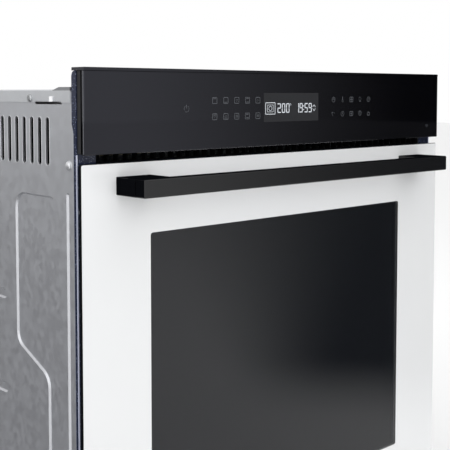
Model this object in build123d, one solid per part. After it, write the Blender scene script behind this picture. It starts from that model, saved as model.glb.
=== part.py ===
from build123d import *
import math
import os

os.makedirs("parts", exist_ok=True)

# A built-in electric oven.  X runs along its width, +Y from the door towards
# the back, +Z up.  Every y below is measured from the front face of the door
# glass; write_part() moves each piece so that the origin is at the bottom
# centre of the whole oven, handle included.

# ---------------------------------------------------------------- sizes, mm
# casing
door_width = 595.0            # door glass, the widest piece
oven_height = 595.0           # underside to top of the trim
body_width = 559.0            # outside of the two side panels
body_height = 571.0           # top edge of the side panels
casing_depth = 546.0          # door front to outside of the rear panel
casing_sheet = 1.0            # galvanised sheet
stamp_depth = 2.0

# front frame
frame_width = 590.0
frame_bottom = 12.5
frame_drop = 3.3              # top of the trim down to top of the frame
frame_y = 11.0                # front face of the frame plate
frame_sheet = 1.0
frame_return = 4.0            # depth of the folded outer edge
frame_ear_return = 7.0        # deeper fold beside the control panel
frame_ear_height = 62.7
frame_ear_slope = 10.0
frame_ear_corner = 6.0
frame_lip_y = 30.0            # bottom flange starts behind the door's swing
seal_y = 44.0                 # face that the gasket sits on
recess_gap = 3.0              # door body to frame recess, each side
cabinet_hole_radius = 2.25
cabinet_hole_low = 110.0
cabinet_hole_high = 410.0

# control panel
panel_height = 87.0
panel_width = 590.0
panel_glass = 4.0
panel_step = 3.2              # panel glass stands this far in front of the door
trim_height = 3.3
trim_depth = 23.2
trim_corner = 2.0
panel_groove = 2.0            # shadow gap behind the panel glass
board_box_width = 300.0
board_box_height = 62.0
board_box_depth = 29.0
display_width = 92.4
display_height = 33.4
display_x = -1.4
display_drop = 42.4           # trim top down to the display's centre
outlet_height = 9.0           # air gap between panel and door

# door
door_glass = 4.0
door_bottom = 10.0
door_corner = 2.0
door_body_width = 536.0
door_body_depth = 34.0        # behind the outer glass
door_body_bottom = 16.0
door_body_gap = 3.0           # door glass top to door body top
stile_width = 24.0
stile_sheet = 1.0
inner_pane = 4.0
inner_pane_overlap = 18.0     # of each stile
middle_pane = 3.0
cap_height = 10.0
arm_window = 14.0             # height that the inner pane leaves for the arms

# handle
handle_length = 510.0
handle_height = 18.5
handle_depth = 15.0
handle_reach = 46.8           # door glass to front of the bar
handle_drop = 14.3            # door glass top to top of the bar
handle_chamfer = 1.0
post_width = 43.5
post_chamfer = 0.6
handle_screw_radius = 2.5

# hinges
pivot_y = 14.0
pivot_z = 22.0
pivot_pin_radius = 3.0
running_clearance = 0.05
arm_thickness = 5.0
arm_half_height = 5.5
crank_radius = 14.0           # rod pin from pivot
rod_pin_radius = 2.5
rod_slot_clearance = 0.75
rod_radius = 3.0
channel_sheet = 1.5
channel_height = 284.0
spring_seat_height = 85.0     # above the pivot
spring_length = 147.0
spring_wire_radius = 1.0
spring_mean_radius = 5.2
spring_turns = 21

# cavity
cavity_width = 462.0
cavity_height = 372.0
cavity_depth = 430.0
cavity_floor = 75.0
cavity_corner = 12.0
liner_sheet = 1.0
insulation_side = 14.0
insulation_top = 24.0
insulation_base = 18.0
insulation_back = 25.0
base_heater_gap = 12.0
gasket_width = 10.0
gasket_inset = 5.0
gasket_clearance = 0.3

# racks, shelf and tray
rack_wire_radius = 2.5
rack_rail_inset = 11.0        # cavity wall to rail centre
rack_post_inset = 6.5         # cavity wall to upright centre
rack_front = 38.0             # seal face to first upright
rack_level_low = 27.0         # cavity floor to lowest rail
rack_pitch = 62.5
rack_pair = 13.0
rack_levels = 5
shelf_level = 3
tray_level = 1
slide_clearance = 0.3
shelf_wire_radius = 1.6
shelf_wires = 21
tray_sheet = 1.2
tray_basin_depth = 31.0

# heating and air
element_radius = 3.2
grill_drop = 15.0
fan_z = 258.0
fan_radius = 70.0
fan_blade_depth = 18.0
fan_blades = 12
shaft_radius = 4.0
ring_radius = 92.0
ring_leg_x = 14.0
fan_cover_width = 350.0
fan_cover_height = 240.0
fan_cover_depth = 35.0
lamp_inset = 46.0             # cavity wall to lamp centre
lamp_z = 412.0
lamp_radius = 22.0
duct_sheet = 0.8
duct_half_width = 270.0
blower_y = 360.0
blower_half_length = 108.0
blower_scroll_radius = 38.0
rotor_radius = 28.0
rotor_blades = 20
rotor_half_length = 100.0
rotor_shaft_radius = 2.5

# side panel features
vent_first = 89.3
vent_pitch = 15.9
vent_count = 12
vent_width = 6.8
vent_rim = 1.2
vent_rim_height = 1.0
vent_height = 50.8
vent_mid_drop = 52.7          # side panel top down to the vents' middle
flange_drop = 11.5            # folded edge of the top cover
cover_slot = (61.0, 113.0)    # from front to back, under the cover's fold
swing_notch = (32.0, 13.0)    # front lower corner cut back for the open door
bead_y = 51.0
bead_mid_z = 263.0
bead_length = 406.0
bead_width = 6.0
dimple_y = 48.5
dimple_z = 494.7
dimple_radius = 5.2
dimple_height = 1.4
field_corner = 18.0
field_leg_corner = 11.0
field_leg_top = 200.0
boss_y = 206.0
boss_z = 431.0
boss_radius = 18.0
rib_mid_y = 330.0
rib_length = 300.0
rib_width = 12.0
rib_pitch = 110.0
rib_low_z = 120.0
rear_screw_inset = 14.0
screw_radius = 1.8
screw_head_radius = 4.2
hole_clearance = 0.1

# ------------------------------------------------------------ derived sizes
half_body = body_width / 2
half_frame = frame_width / 2
half_panel = panel_width / 2
half_door_body = door_body_width / 2
half_cavity = cavity_width / 2
hinge_x = half_door_body - stile_width / 2 - stile_sheet
pivot_half = stile_width / 2 - 2 * stile_sheet
lamp_x = lamp_inset - half_cavity
panel_bottom = oven_height - panel_height
door_top = panel_bottom - outlet_height + 0.1
panel_top = oven_height - trim_height
frame_top = oven_height - frame_drop
frame_back = frame_y + frame_sheet
recess_half = half_door_body + recess_gap
recess_top = door_top - 1.6
outlet_floor = recess_top + frame_sheet
seal_back = seal_y + frame_sheet
door_body_top = door_top - door_body_gap
door_body_back = door_glass + door_body_depth
stile_back = door_body_back - inner_pane
inner_pane_bottom = door_body_bottom + arm_window
cavity_top = cavity_floor + cavity_height
cavity_back = seal_back + cavity_depth
liner_back = cavity_back + liner_sheet
insulation_rear = liner_back + insulation_back
insulation_roof = cavity_top + liner_sheet + insulation_top
insulation_floor = cavity_floor - liner_sheet - base_heater_gap - insulation_base
rear_panel_y = casing_depth - casing_sheet
terminal_depth = 21.0
rear_reach = casing_depth + terminal_depth
origin_shift = (handle_reach - rear_reach) / 2
crank_offset = crank_radius * math.cos(math.radians(45))
duct_back = blower_y - blower_scroll_radius - 2
duct_floor = insulation_roof + 4
duct_roof = panel_bottom + 4
blower_z = duct_floor + blower_scroll_radius + 2
rail_x = half_cavity - rack_rail_inset
upright_x = half_cavity - rack_post_inset
rail_front = seal_y + rack_front - 13
rail_back = cavity_back - 55
grill_z = cavity_top - grill_drop
base_heater_z = cavity_floor - liner_sheet - element_radius
ring_leg_z = fan_z - math.sqrt(ring_radius**2 - ring_leg_x**2)


# ------------------------------------------------------------------ helpers
def block(x, y, z):
    """Box between two limits along each axis."""
    middle = [(a + b) / 2 for a, b in (x, y, z)]
    return Pos(*middle) * Box(x[1] - x[0], y[1] - y[0], z[1] - z[0])


def upright_plate(outline, y0, y1):
    """Outline drawn in X and Z, given its thickness from y0 to y1."""
    return extrude(Plane((0, y1, 0), x_dir=(1, 0, 0), z_dir=(0, -1, 0)) * outline, y1 - y0)


def side_plate(outline, x0, x1):
    """Outline drawn in Y and Z, given its thickness from x0 to x1."""
    return extrude(Plane((x0, 0, 0), x_dir=(0, 1, 0), z_dir=(1, 0, 0)) * outline, x1 - x0)


def flat_plate(outline, z0, z1):
    """Outline drawn in X and Y, given its thickness from z0 to z1."""
    return extrude(Plane((0, 0, z0)) * outline, z1 - z0)


def rect(u, v, corner=0.0):
    """Rectangle between two limits along each sketch axis."""
    centre = Pos((u[0] + u[1]) / 2, (v[0] + v[1]) / 2)
    if corner:
        return centre * RectangleRounded(u[1] - u[0], v[1] - v[0], corner)
    return centre * Rectangle(u[1] - u[0], v[1] - v[0])


def both(x):
    """Limits from -x to x."""
    return (-x, x)


def outward(side, near, far):
    """X limits from near to far on the given side, lowest first."""
    return (near, far) if side > 0 else (-far, -near)


def rod(start, end, radius):
    """Round bar between two points."""
    run = Vector(*end) - Vector(*start)
    return extrude(Plane(start, z_dir=run) * Circle(radius), run.length)


def bent_rod(points, bend, radius):
    """Round bar along straight runs joined by arcs."""
    path = FilletPolyline(*points, radius=bend)
    return sweep(Plane(path @ 0, z_dir=path % 0) * Circle(radius), path=path)


def ball(centre, radius):
    return Pos(*centre) * Sphere(radius)


def fuse(pieces):
    """One solid from a list of touching pieces."""
    first, *others = pieces
    return first.fuse(*others) if others else first


def write_part(name, shape):
    """Move a piece from the door-front frame to the oven's own frame and save it."""
    export_step(Pos(0, origin_shift, 0) * shape, f"parts/{name}.step")


# ------------------------------------------------------------- front frame
def frame_outline():
    """Front plate: outer edge, door recess, air outlet, board box and fixing holes."""
    plate = rect(both(half_frame), (frame_bottom, frame_top), 2.0)
    plate -= rect(both(recess_half), (frame_bottom - 5, recess_top))
    plate -= rect(both(recess_half + 1), (outlet_floor, panel_bottom))
    box_top = panel_top - 8
    plate -= rect(both(board_box_width / 2 + 2), (box_top - board_box_height - 4, box_top + 2))
    for side in (-1, 1):
        for z in (cabinet_hole_low, cabinet_hole_high):
            plate -= Pos(side * cabinet_hole_x, z) * Circle(cabinet_hole_radius)
    return plate


cabinet_hole_x = (half_body + half_frame) / 2 - 4.0


def front_frame():
    plate = upright_plate(frame_outline(), frame_y, frame_back)
    ear_z = frame_top - frame_ear_height
    fold = rect((frame_back - 0.5, frame_back + frame_return), (frame_bottom, frame_top - 7))
    ear = make_face(Polyline((frame_back - 0.5, ear_z), (frame_back + frame_return, ear_z),
                             (frame_back + frame_ear_return, ear_z + frame_ear_slope),
                             (frame_back + frame_ear_return, frame_top),
                             (frame_back - 0.5, frame_top), close=True))
    ear = fillet(ear.vertices().group_by(Axis.X)[-1].sort_by(Axis.Y)[-1], frame_ear_corner)
    top_fold = block(both(half_frame - 8), (frame_back - 0.5, frame_back + frame_return),
                     (frame_top - frame_sheet, frame_top))
    pieces = [plate, top_fold]
    for side in (-1, 1):
        edge = outward(side, half_frame - frame_sheet, half_frame)
        wall = outward(side, recess_half, recess_half + frame_sheet)
        pieces += [side_plate(fold + ear, *edge)]
        pieces += [block(wall, (frame_y, seal_back), (frame_bottom, outlet_floor))]
    for y, z in ((frame_lip_y, frame_bottom), (frame_y, recess_top)):
        pieces += [block(both(recess_half + frame_sheet), (y, seal_back), (z, z + frame_sheet))]
    seal = rect(both(half_body - casing_sheet), (frame_bottom, outlet_floor))
    seal -= rect(both(half_cavity), (cavity_floor, cavity_top), cavity_corner)
    for side in (-1, 1):
        slot_z = (frame_bottom + frame_sheet, pivot_z + arm_half_height + 6.5)
        slot_x = outward(side, hinge_x - arm_thickness, hinge_x + arm_thickness)
        seal -= rect(slot_x, slot_z)
    pieces += [upright_plate(seal, seal_y, seal_back)]
    return fuse(pieces)


def door_bumpers():
    """Four soft stops between the frame and the back of the door glass."""
    stops = []
    for side in (-1, 1):
        for z in (door_bottom + 40, door_top - 48):
            stop = rod((side * (half_frame - 6), frame_y, z), (side * (half_frame - 6), door_glass + 0.3, z), 4.0)
            stops.append(fillet(stop.edges().sort_by(Axis.Y)[0], 1.5))
    return Compound(stops)


# ------------------------------------------------------------------ casing
def stamped(panel, outline, side):
    """Area pressed into a side panel from outside, with sloping edges all round."""
    inner = extrude(inward_plane(side, half_body - casing_sheet) * outline, stamp_depth, taper=45)
    outer = extrude(inward_plane(side, half_body) * outline, stamp_depth, taper=45)
    return panel.fuse(inner) - outer


def inward_plane(side, x):
    """Plane across X that looks into the casing; its own x runs along -Y times side."""
    return Plane((side * x, 0, 0), x_dir=(0, -side, 0), z_dir=(-side, 0, 0))


def slot_at(y, z, length, width, side, upright=True):
    """Slot outline on a side panel's inward plane."""
    return Pos(-side * y, z) * SlotOverall(length, width, rotation=90 if upright else 0)


def field_outline(side):
    """Stamped area: wide above, one edge stepping in to a narrow leg below."""
    corners = [(69, 60), (69, 460), (158, 460), (158, 290), (93, 262), (93, 60)]
    outline = make_face(Polyline(*[(-side * y, z) for y, z in corners], close=True))
    outline = fillet(outline.vertices().group_by(Axis.Y)[0], field_leg_corner)
    return fillet([v for v in outline.vertices() if v.Y > field_leg_top], field_corner)


def side_panel(side):
    x = outward(side, half_body - casing_sheet, half_body)
    sheet = rect((frame_back, rear_panel_y), (0, body_height))
    vents_z = body_height - vent_mid_drop
    vent_ys = [vent_first + vent_pitch * i for i in range(vent_count)]
    for y in vent_ys:
        sheet -= Pos(y, vents_z) * SlotOverall(vent_height, vent_width, rotation=90)
    sheet -= rect(cover_slot, (body_height - flange_drop - 2, body_height - flange_drop + 0.5))
    sheet -= rect((0, swing_notch[0]), (-1, swing_notch[1]))
    for y, z in side_screw_places():
        sheet -= Pos(y, z) * Circle(screw_radius + hole_clearance)
    pieces = [side_plate(sheet, *x)]
    for y in vent_ys:
        rim = slot_at(y, vents_z, vent_height + 2 * vent_rim, vent_width + 2 * vent_rim, side)
        rim -= slot_at(y, vents_z, vent_height, vent_width, side)
        pieces.append(extrude(inward_plane(side, half_body - casing_sheet) * rim, vent_rim_height))
    dimple = Plane((side * half_body, 0, 0), z_dir=(side, 0, 0), x_dir=(0, side, 0))
    dimple *= Pos(side * dimple_y, dimple_z) * Circle(dimple_radius)
    pieces.append(extrude(dimple, dimple_height, taper=45))
    panel = fuse(pieces)
    hollows = [slot_at(bead_y, bead_mid_z, bead_length, bead_width, side), field_outline(side),
               Pos(-side * boss_y, boss_z) * Circle(boss_radius)]
    hollows += [slot_at(rib_mid_y, rib_low_z + rib_pitch * i, rib_length, rib_width, side, upright=False)
                for i in range(3)]
    for outline in hollows:
        panel = stamped(panel, outline, side)
    return panel


def side_screw_places():
    """(y, z) of the screws through the top cover's fold into each side panel."""
    z = body_height - flange_drop / 2 - 1.2
    return [(122.0, z), (330.0, z), (520.0, z)]


def top_cover():
    x = half_body + casing_sheet
    cover = [block(both(x), (seal_y, casing_depth), (body_height, body_height + casing_sheet))]
    for side in (-1, 1):
        fold = rect((seal_y, casing_depth), (body_height - flange_drop, body_height + 0.5))
        fold -= rect(cover_slot, (body_height - flange_drop - 1, body_height - flange_drop + 1.5))
        for y, z in side_screw_places():
            fold -= Pos(y, z) * Circle(screw_radius + hole_clearance)
        cover.append(side_plate(fold, *outward(side, half_body, x)))
        tab = block(outward(side, x - 0.2, x + 1.0), (75, 82), (body_height - 10.5, body_height - 5))
        cover.append(tab)
    shell = fuse(cover)
    for i in range(11):
        x_mid = -100 + 20 * i
        slot = Pos(x_mid, blower_y) * SlotOverall(60, 6, rotation=90)
        shell -= flat_plate(slot, body_height - 1, body_height + casing_sheet + 1)
    for x_mid in (-200, 200):
        rib = Pos(x_mid, 290) * SlotOverall(380, 14, rotation=90)
        shell += extrude(Plane((0, 0, body_height + casing_sheet)) * rib, 1.5, taper=45)
    return shell


def top_brackets():
    """Two folded cleats at the front corners of the top cover."""
    base = body_height + casing_sheet
    profile = make_face(Polyline((seal_y, base), (seal_y, base + 3.6), (65, base + 3.6), (78, base), close=True))
    return Compound([side_plate(profile, *outward(side, half_body - 18, half_body + casing_sheet))
                     for side in (-1, 1)])


def base_pan():
    x = half_body - casing_sheet
    floor = rect(both(x), (seal_back, rear_panel_y))
    for i in range(9):
        floor -= Pos(-160 + 40 * i, 470) * SlotOverall(70, 8, rotation=90)
    wall = casing_sheet
    pieces = [flat_plate(floor, 0, wall)]
    pieces.append(block(both(x), (seal_back, seal_back + wall), (0, frame_bottom + 1.5)))
    pieces.append(block(both(x), (rear_panel_y - wall, rear_panel_y), (0, 25)))
    for side in (-1, 1):
        pieces.append(block(outward(side, x - wall, x), (seal_back, rear_panel_y), (0, 25)))
    return fuse(pieces)


def rear_screw_places():
    """(x, z) of the screws that hold the rear panel."""
    return [(side * (half_body - rear_screw_inset), z) for side in (-1, 1) for z in (40, 200, 390, 555)]


def rear_panel():
    """Flat sheet with a shallow vented dish over the fan motor."""
    sheet = rect(both(half_body), (0, body_height))
    dish_depth = 10.0
    dish = rect((-115, 115), (fan_z - 95, fan_z + 95), 20)
    dish_inside = rect((-114, 114), (fan_z - 94, fan_z + 94), 19)
    for x, z in rear_screw_places():
        sheet -= Pos(x, z) * Circle(screw_radius + hole_clearance)
    panel = upright_plate(sheet - dish_inside, rear_panel_y, casing_depth)
    cup = upright_plate(dish, casing_depth - 0.5, casing_depth + dish_depth)
    cup -= upright_plate(dish_inside, casing_depth - 1, casing_depth + dish_depth - casing_sheet)
    panel = panel.fuse(cup)
    for row in range(7):
        for column in (-1, 0, 1):
            slot = Pos(68 * column, fan_z - 66 + 22 * row) * SlotOverall(52, 5)
            panel -= upright_plate(slot, casing_depth + 2, casing_depth + dish_depth + 1)
    for i in range(12):
        slot = Pos(-220 + 22 * i, body_height - 50) * SlotOverall(50, 6, rotation=90)
        panel -= upright_plate(slot, rear_panel_y - 1, casing_depth + 1)
    return panel


def casing_screws():
    """Pan-head screws of the side folds and of the rear panel, heads outside."""
    screws = []
    for side in (-1, 1):
        for y, z in side_screw_places():
            face = half_body + casing_sheet
            shank = rod((side * (face - 6), y, z), (side * face, y, z), screw_radius)
            head = rod((side * face, y, z), (side * (face + 2.2), y, z), screw_head_radius)
            head = fillet(head.edges().sort_by(Axis.X)[-1 if side > 0 else 0], 1.2)
            cross = Pos(side * (face + 2), y, z) * (Box(1.6, 5, 1) + Box(1.6, 1, 5))
            screws.append(shank.fuse(head) - cross)
    for x, z in rear_screw_places():
        shank = rod((x, casing_depth - 6, z), (x, casing_depth, z), screw_radius)
        head = rod((x, casing_depth, z), (x, casing_depth + 2.2, z), screw_head_radius)
        head = fillet(head.edges().sort_by(Axis.Y)[-1], 1.2)
        cross = Pos(x, casing_depth + 2, z) * (Box(5, 1.6, 1) + Box(1, 1.6, 5))
        screws.append(shank.fuse(head) - cross)
    return Compound(screws)


terminal_x = (150.0, 225.0)
terminal_z = (470.0, 545.0)


def terminal_box():
    """Covered box on the back where the mains lead is joined."""
    wall = 2.0
    outer = block(terminal_x, (casing_depth, rear_reach), terminal_z)
    outer = fillet(outer.edges().filter_by(Axis.Y), 4.0)
    inside = block((terminal_x[0] + wall, terminal_x[1] - wall), (casing_depth - 1, rear_reach - wall),
                   (terminal_z[0] + wall, terminal_z[1] - wall))
    middle_x = sum(terminal_x) / 2
    throat = rod((middle_x, casing_depth + 10.5, terminal_z[0] - 1),
                 (middle_x, casing_depth + 10.5, terminal_z[0] + wall + 1), cord_bore_radius)
    block_top = (terminal_z[0] + 30, terminal_z[1] - 20)
    connector = block((terminal_x[0] + 1, terminal_x[1] - 1), (casing_depth, casing_depth + 9), block_top)
    return (outer - inside - throat).fuse(connector)


cord_bore_radius = 5.0
gland_length = 16.0


def cord_inlet():
    """Screwed gland under the terminal box, with a hexagon nut."""
    x = sum(terminal_x) / 2
    y = casing_depth + 10.5
    top = terminal_z[0]
    gland = rod((x, y, top - gland_length), (x, y, top), 8.0)
    nut = Pos(x, y) * RegularPolygon(10.3, 6, major_radius=True)
    gland = gland.fuse(flat_plate(nut, top - 6, top))
    return gland - rod((x, y, top - gland_length - 1), (x, y, top + 1), cord_bore_radius)


# ----------------------------------------------------------- control panel
def control_glass():
    y = (-panel_step, panel_glass - panel_step)
    glass = upright_plate(rect(both(half_panel), (panel_bottom, panel_top), 1.0), *y)
    return chamfer(glass.faces().sort_by(Axis.Y)[0].edges(), 0.5)


def panel_top_trim():
    y = (-panel_step, trim_depth - panel_step)
    outline = rect(both(half_panel), y)
    outline = fillet(outline.vertices().sort_by(Axis.Y)[-2:], trim_corner)
    trim = flat_plate(outline, panel_top, oven_height)
    return fillet(trim.edges().group_by(Axis.Z)[-1], 0.8)


def board_box_z():
    top = panel_top - 8
    return (top - board_box_height, top)


def control_housing():
    """Plastic tray behind the panel glass; its deep middle holds the boards."""
    glue_y = panel_glass - panel_step
    wall_y = glue_y + panel_groove
    z = (panel_bottom + 1, panel_top)
    tray = upright_plate(rect(both(half_panel - 1), z, 1.0), wall_y, frame_y)
    tray -= upright_plate(rect(both(half_panel - 5), (z[0] + 4, z[1] - 4)), wall_y + 2.2, frame_y + 1)
    tape = upright_plate(rect(both(half_panel - 5), (z[0] + 3, z[1] - 1)), glue_y, wall_y + 0.5)
    half_box = board_box_width / 2
    deep = block(both(half_box), (wall_y + 2, frame_y + board_box_depth), board_box_z())
    pocket_z = (board_box_z()[0] + 2, board_box_z()[1] - 2)
    pocket = block(both(half_box - 2), (wall_y + 2.2, frame_y + board_box_depth - 2), pocket_z)
    half_display = display_width / 2 + 0.3
    middle = oven_height - display_drop
    window_z = (middle - display_height / 2 - 0.3, middle + display_height / 2 + 0.3)
    window_x = (display_x - half_display, display_x + half_display)
    window = block(window_x, (glue_y - 1, wall_y + 3), window_z)
    return tray.fuse(tape, deep) - pocket - window


def display_module():
    """Lit segment display in its own shallow case, just behind the glass."""
    middle = oven_height - display_drop
    x = (display_x - display_width / 2, display_x + display_width / 2)
    z = (middle - display_height / 2, middle + display_height / 2)
    case = block(x, (panel_glass - panel_step + 0.2, board_y()), z)
    return chamfer(case.faces().sort_by(Axis.Y)[0].edges(), 0.4)


def board_y():
    """Front face of the control board."""
    return frame_y + 6


def control_board():
    half = board_box_width / 2 - 5
    z0, z1 = board_box_z()
    board = block(both(half), (board_y(), board_y() + 1.6), (z0 + 4, z1 - 4))
    parts = [board]
    for i in range(6):
        x = -115 + 44 * i
        parts.append(block((x, x + 14), (board_y() + 1.6, board_y() + 6), (z0 + 14, z0 + 26)))
    for x in (-half + 8, half - 8):
        parts.append(rod((x, board_y() + 1.6, z1 - 12), (x, frame_y + board_box_depth - 2, z1 - 12), 3.0))
    return fuse(parts)


def power_board():
    """Supply and relay board, standing off the air duct."""
    top = duct_roof
    parts = [block((-222, -72), (130, 260), (top + 8, top + 9.6))]
    for x in (-214, -80):
        for y in (138, 252):
            parts.append(rod((x, y, top), (x, y, top + 8.2), 3.0))
    for i in range(4):
        parts.append(block((-214 + 34 * i, -190 + 34 * i), (150, 178), (top + 9.6, top + 26)))
    parts.append(block((-205, -160), (200, 245), (top + 9.6, top + 38)))
    for i in range(3):
        x = -140 + 22 * i
        parts.append(rod((x, 222, top + 9.6), (x, 222, top + 32), 8.0))
    return fuse(parts)


def air_outlet_grille():
    """Black strip of upright louvres in the gap between panel and door."""
    x = recess_half
    y = (frame_back + 1, frame_back + 8)
    z = (outlet_floor + 0.3, panel_bottom - 0.3)
    grille = block(both(x), y, z)
    openings = []
    count = 44
    pitch = 2 * (x - 3) / count
    for i in range(count):
        left = -x + 3 + pitch * i + 1.0
        openings.append(block((left, left + pitch - 2.0), (y[0] - 1, y[1] + 1), (z[0] + 1.2, z[1] - 1.2)))
    return grille - openings


# ---------------------------------------------------------------- air path
def air_duct():
    """Sheet duct over the cavity: wide and low at the outlet, deeper at the blower."""
    front = frame_back + 8.5
    low_front, low_back = outlet_floor + 0.3, duct_floor
    bend = seal_back + 75
    points = [(front, low_front), (seal_back + 2, low_front), (bend, low_back), (duct_back, low_back),
              (duct_back, duct_roof), (bend, duct_roof), (seal_back + 2, panel_bottom), (front, panel_bottom)]
    outer = make_face(Polyline(*points, close=True))
    s = duct_sheet
    inner_points = [(front - 1, low_front + s), (seal_back + 2, low_front + s), (bend, low_back + s),
                    (duct_back - s, low_back + s), (duct_back - s, duct_roof - s), (bend, duct_roof - s),
                    (seal_back + 2, panel_bottom - s), (front - 1, panel_bottom - s)]
    inner = make_face(Polyline(*inner_points, close=True))
    duct = side_plate(outer, *both(duct_half_width))
    duct -= side_plate(inner, *both(duct_half_width - s))
    mouth = block(both(blower_half_length - 2), (duct_back - 2, duct_back + 1), (low_back + s, duct_roof - s))
    return duct - mouth


def blower_housing():
    """Scroll of the cross-flow blower, open to the duct in front and slotted above."""
    wall = 1.2
    scroll = Pos(blower_y, blower_z) * Circle(blower_scroll_radius)
    spout = rect((duct_back, blower_y), (duct_floor, duct_roof))
    hollow = Pos(blower_y, blower_z) * Circle(blower_scroll_radius - wall)
    hollow += rect((duct_back - 1, blower_y), (duct_floor + wall, duct_roof - wall))
    half = blower_half_length
    shell = side_plate(scroll + spout, *both(half)) - side_plate(hollow, *both(half - wall))
    for i in range(9):
        x = -88 + 22 * i
        shell -= block((x - 7, x + 7), (blower_y, blower_y + 30), (blower_z + 15, blower_z + 45))
    shell -= rod((-half - 1, blower_y, blower_z), (0, blower_y, blower_z), rotor_shaft_radius + running_clearance)
    shell -= rod((0, blower_y, blower_z), (half + 1, blower_y, blower_z), rotor_shaft_radius + 2)
    foot_z = (insulation_roof, duct_floor + 1)
    feet = [block(outward(side, half - 20, half), (blower_y - 20, blower_y + 10), foot_z) for side in (-1, 1)]
    hollow_half = block(both(half - wall), (duct_back, blower_y + 20), (duct_floor + wall, duct_floor + 9))
    return shell.fuse(*feet) - hollow_half


def cooling_fan():
    """Cross-flow rotor: end discs, a middle disc, many narrow blades and its shaft."""
    half = rotor_half_length
    parts = [rod((-half - 10, blower_y, blower_z), (blower_half_length + 26, blower_y, blower_z), rotor_shaft_radius)]
    for x in (-half, -1, half - 2):
        parts.append(rod((x, blower_y, blower_z), (x + 2, blower_y, blower_z), rotor_radius))
    blade = Pos(rotor_radius - 4, 0) * Rectangle(7.5, 0.9, rotation=35)
    for i in range(rotor_blades):
        profile = Pos(blower_y, blower_z) * Rot(0, 0, 360 / rotor_blades * i) * blade
        parts.append(side_plate(profile, -half, half))
    return fuse(parts)


def blower_motor():
    """Shaded-pole motor on the right-hand end of the scroll."""
    x0 = blower_half_length
    stack = block((x0 + 4, x0 + 24), (blower_y - 25, blower_y + 25), (blower_z - 25, blower_z + 22))
    coil = block((x0 + 2, x0 + 26), (blower_y - 14, blower_y + 14), (blower_z + 16, blower_z + 36))
    cap = rod((x0, blower_y, blower_z), (x0 + 32, blower_y, blower_z), 11.0)
    bore = rod((x0 - 1, blower_y, blower_z), (x0 + 27, blower_y, blower_z), rotor_shaft_radius + running_clearance)
    return stack.fuse(coil, cap) - bore


# ------------------------------------------------------------------ cavity
def liner_holes():
    """(x, z, radius) of everything that passes the cavity's back wall."""
    holes = [(0.0, fan_z, shaft_radius + 3)]
    holes += [(x, grill_z, element_radius + 0.8) for x in (-20.0, 20.0)]
    holes += [(x, ring_leg_z, element_radius + 0.8) for x in (-ring_leg_x, ring_leg_x)]
    holes += [(lamp_x, lamp_z, lamp_radius - 3), (120.0, grill_z - 12, 2.6)]
    return holes


def rack_stud_places():
    """(y, z) of the studs that carry each side rack."""
    top_rail = cavity_floor + rack_level_low + rack_pitch * (rack_levels - 1) + rack_pair + 20
    z = top_rail - rack_wire_radius - 3.0
    return [(rail_front + 42, z), (rail_back - 40, z)]


def cavity_liner():
    """Enamelled box, open in front, with holes in its back and studs on its sides."""
    outer = rect(both(half_cavity + liner_sheet), (cavity_floor - liner_sheet, cavity_top + liner_sheet),
                 cavity_corner + liner_sheet)
    inner = rect(both(half_cavity), (cavity_floor, cavity_top), cavity_corner)
    liner = upright_plate(outer, seal_back, liner_back)
    liner -= upright_plate(inner, seal_back - 1, cavity_back)
    for x, z, radius in liner_holes():
        liner -= rod((x, cavity_back - 1, z), (x, liner_back + 1, z), radius)
    studs = []
    for side in (-1, 1):
        for y, z in rack_stud_places():
            wall, head = side * (half_cavity + 0.5), side * (half_cavity - 12)
            studs.append(rod((wall, y, z), (head, y, z), 3.0))
            studs.append(rod((head, y, z), (head - side * 2, y, z), 4.5))
    return liner.fuse(*studs)


def insulation():
    """Glass-wool jacket round the liner, thicker above and behind."""
    wool = block(both(half_cavity + liner_sheet + insulation_side), (seal_back, insulation_rear),
                 (insulation_floor, insulation_roof))
    wool -= block(both(half_cavity + liner_sheet), (seal_back - 1, liner_back),
                  (insulation_floor + insulation_base, cavity_top + liner_sheet))
    for x, z, radius in liner_holes():
        wide = 30.0 if radius > 10 else 7.0
        wide = 22.0 if (x, z) == (0.0, fan_z) else wide
        wool -= rod((x, liner_back - 1, z), (x, insulation_rear + 1, z), wide)
    for x in (-30.0, 30.0):
        wool -= rod((x, liner_back - 1, base_heater_z), (x, insulation_rear + 1, base_heater_z), 7.0)
    return wool


def door_gasket():
    """Soft bead round the cavity mouth."""
    inner_half = half_cavity + gasket_inset
    inner_z = (cavity_floor - gasket_inset, cavity_top + gasket_inset)
    g = gasket_width
    ring = rect(both(inner_half + g), (inner_z[0] - g, inner_z[1] + g), cavity_corner + g)
    ring -= rect(both(inner_half), inner_z, cavity_corner)
    bead = upright_plate(ring, door_body_back + gasket_clearance, seal_y)
    return fillet(bead.faces().sort_by(Axis.Y)[0].edges(), 3.0)


def rail_heights():
    """Lower rail centre of each rack level."""
    return [cavity_floor + rack_level_low + rack_pitch * i for i in range(rack_levels)]


def side_rack(side):
    """Chromed wire rack: uprights, a pair of rails for each level, a top and a foot wire."""
    r = rack_wire_radius
    x, post = side * rail_x, side * upright_x
    top = rail_heights()[-1] + rack_pair + 20
    foot = rail_heights()[0] - 14
    parts = []
    uprights = [rail_front + 14, rail_front + 72, rail_back - 72, rail_back - 14]
    for y in uprights:
        parts += [rod((post, y, foot), (post, y, top), r)]
    for z in (foot, top):
        parts += [rod((post, uprights[0], z), (post, uprights[-1], z), r)]
        parts += [ball((post, y, z), r) for y in (uprights[0], uprights[-1])]
    for low in rail_heights():
        for z in (low, low + rack_pair):
            parts.append(rod((x, rail_front, z), (x, rail_back, z), r))
            parts += [ball((x, y, z), r) for y in (rail_front, rail_back)]
    return fuse(parts)


def shelf_z():
    """Centre height of the wire shelf's side bars."""
    return rail_heights()[shelf_level] + 2 * rack_wire_radius + slide_clearance


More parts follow.
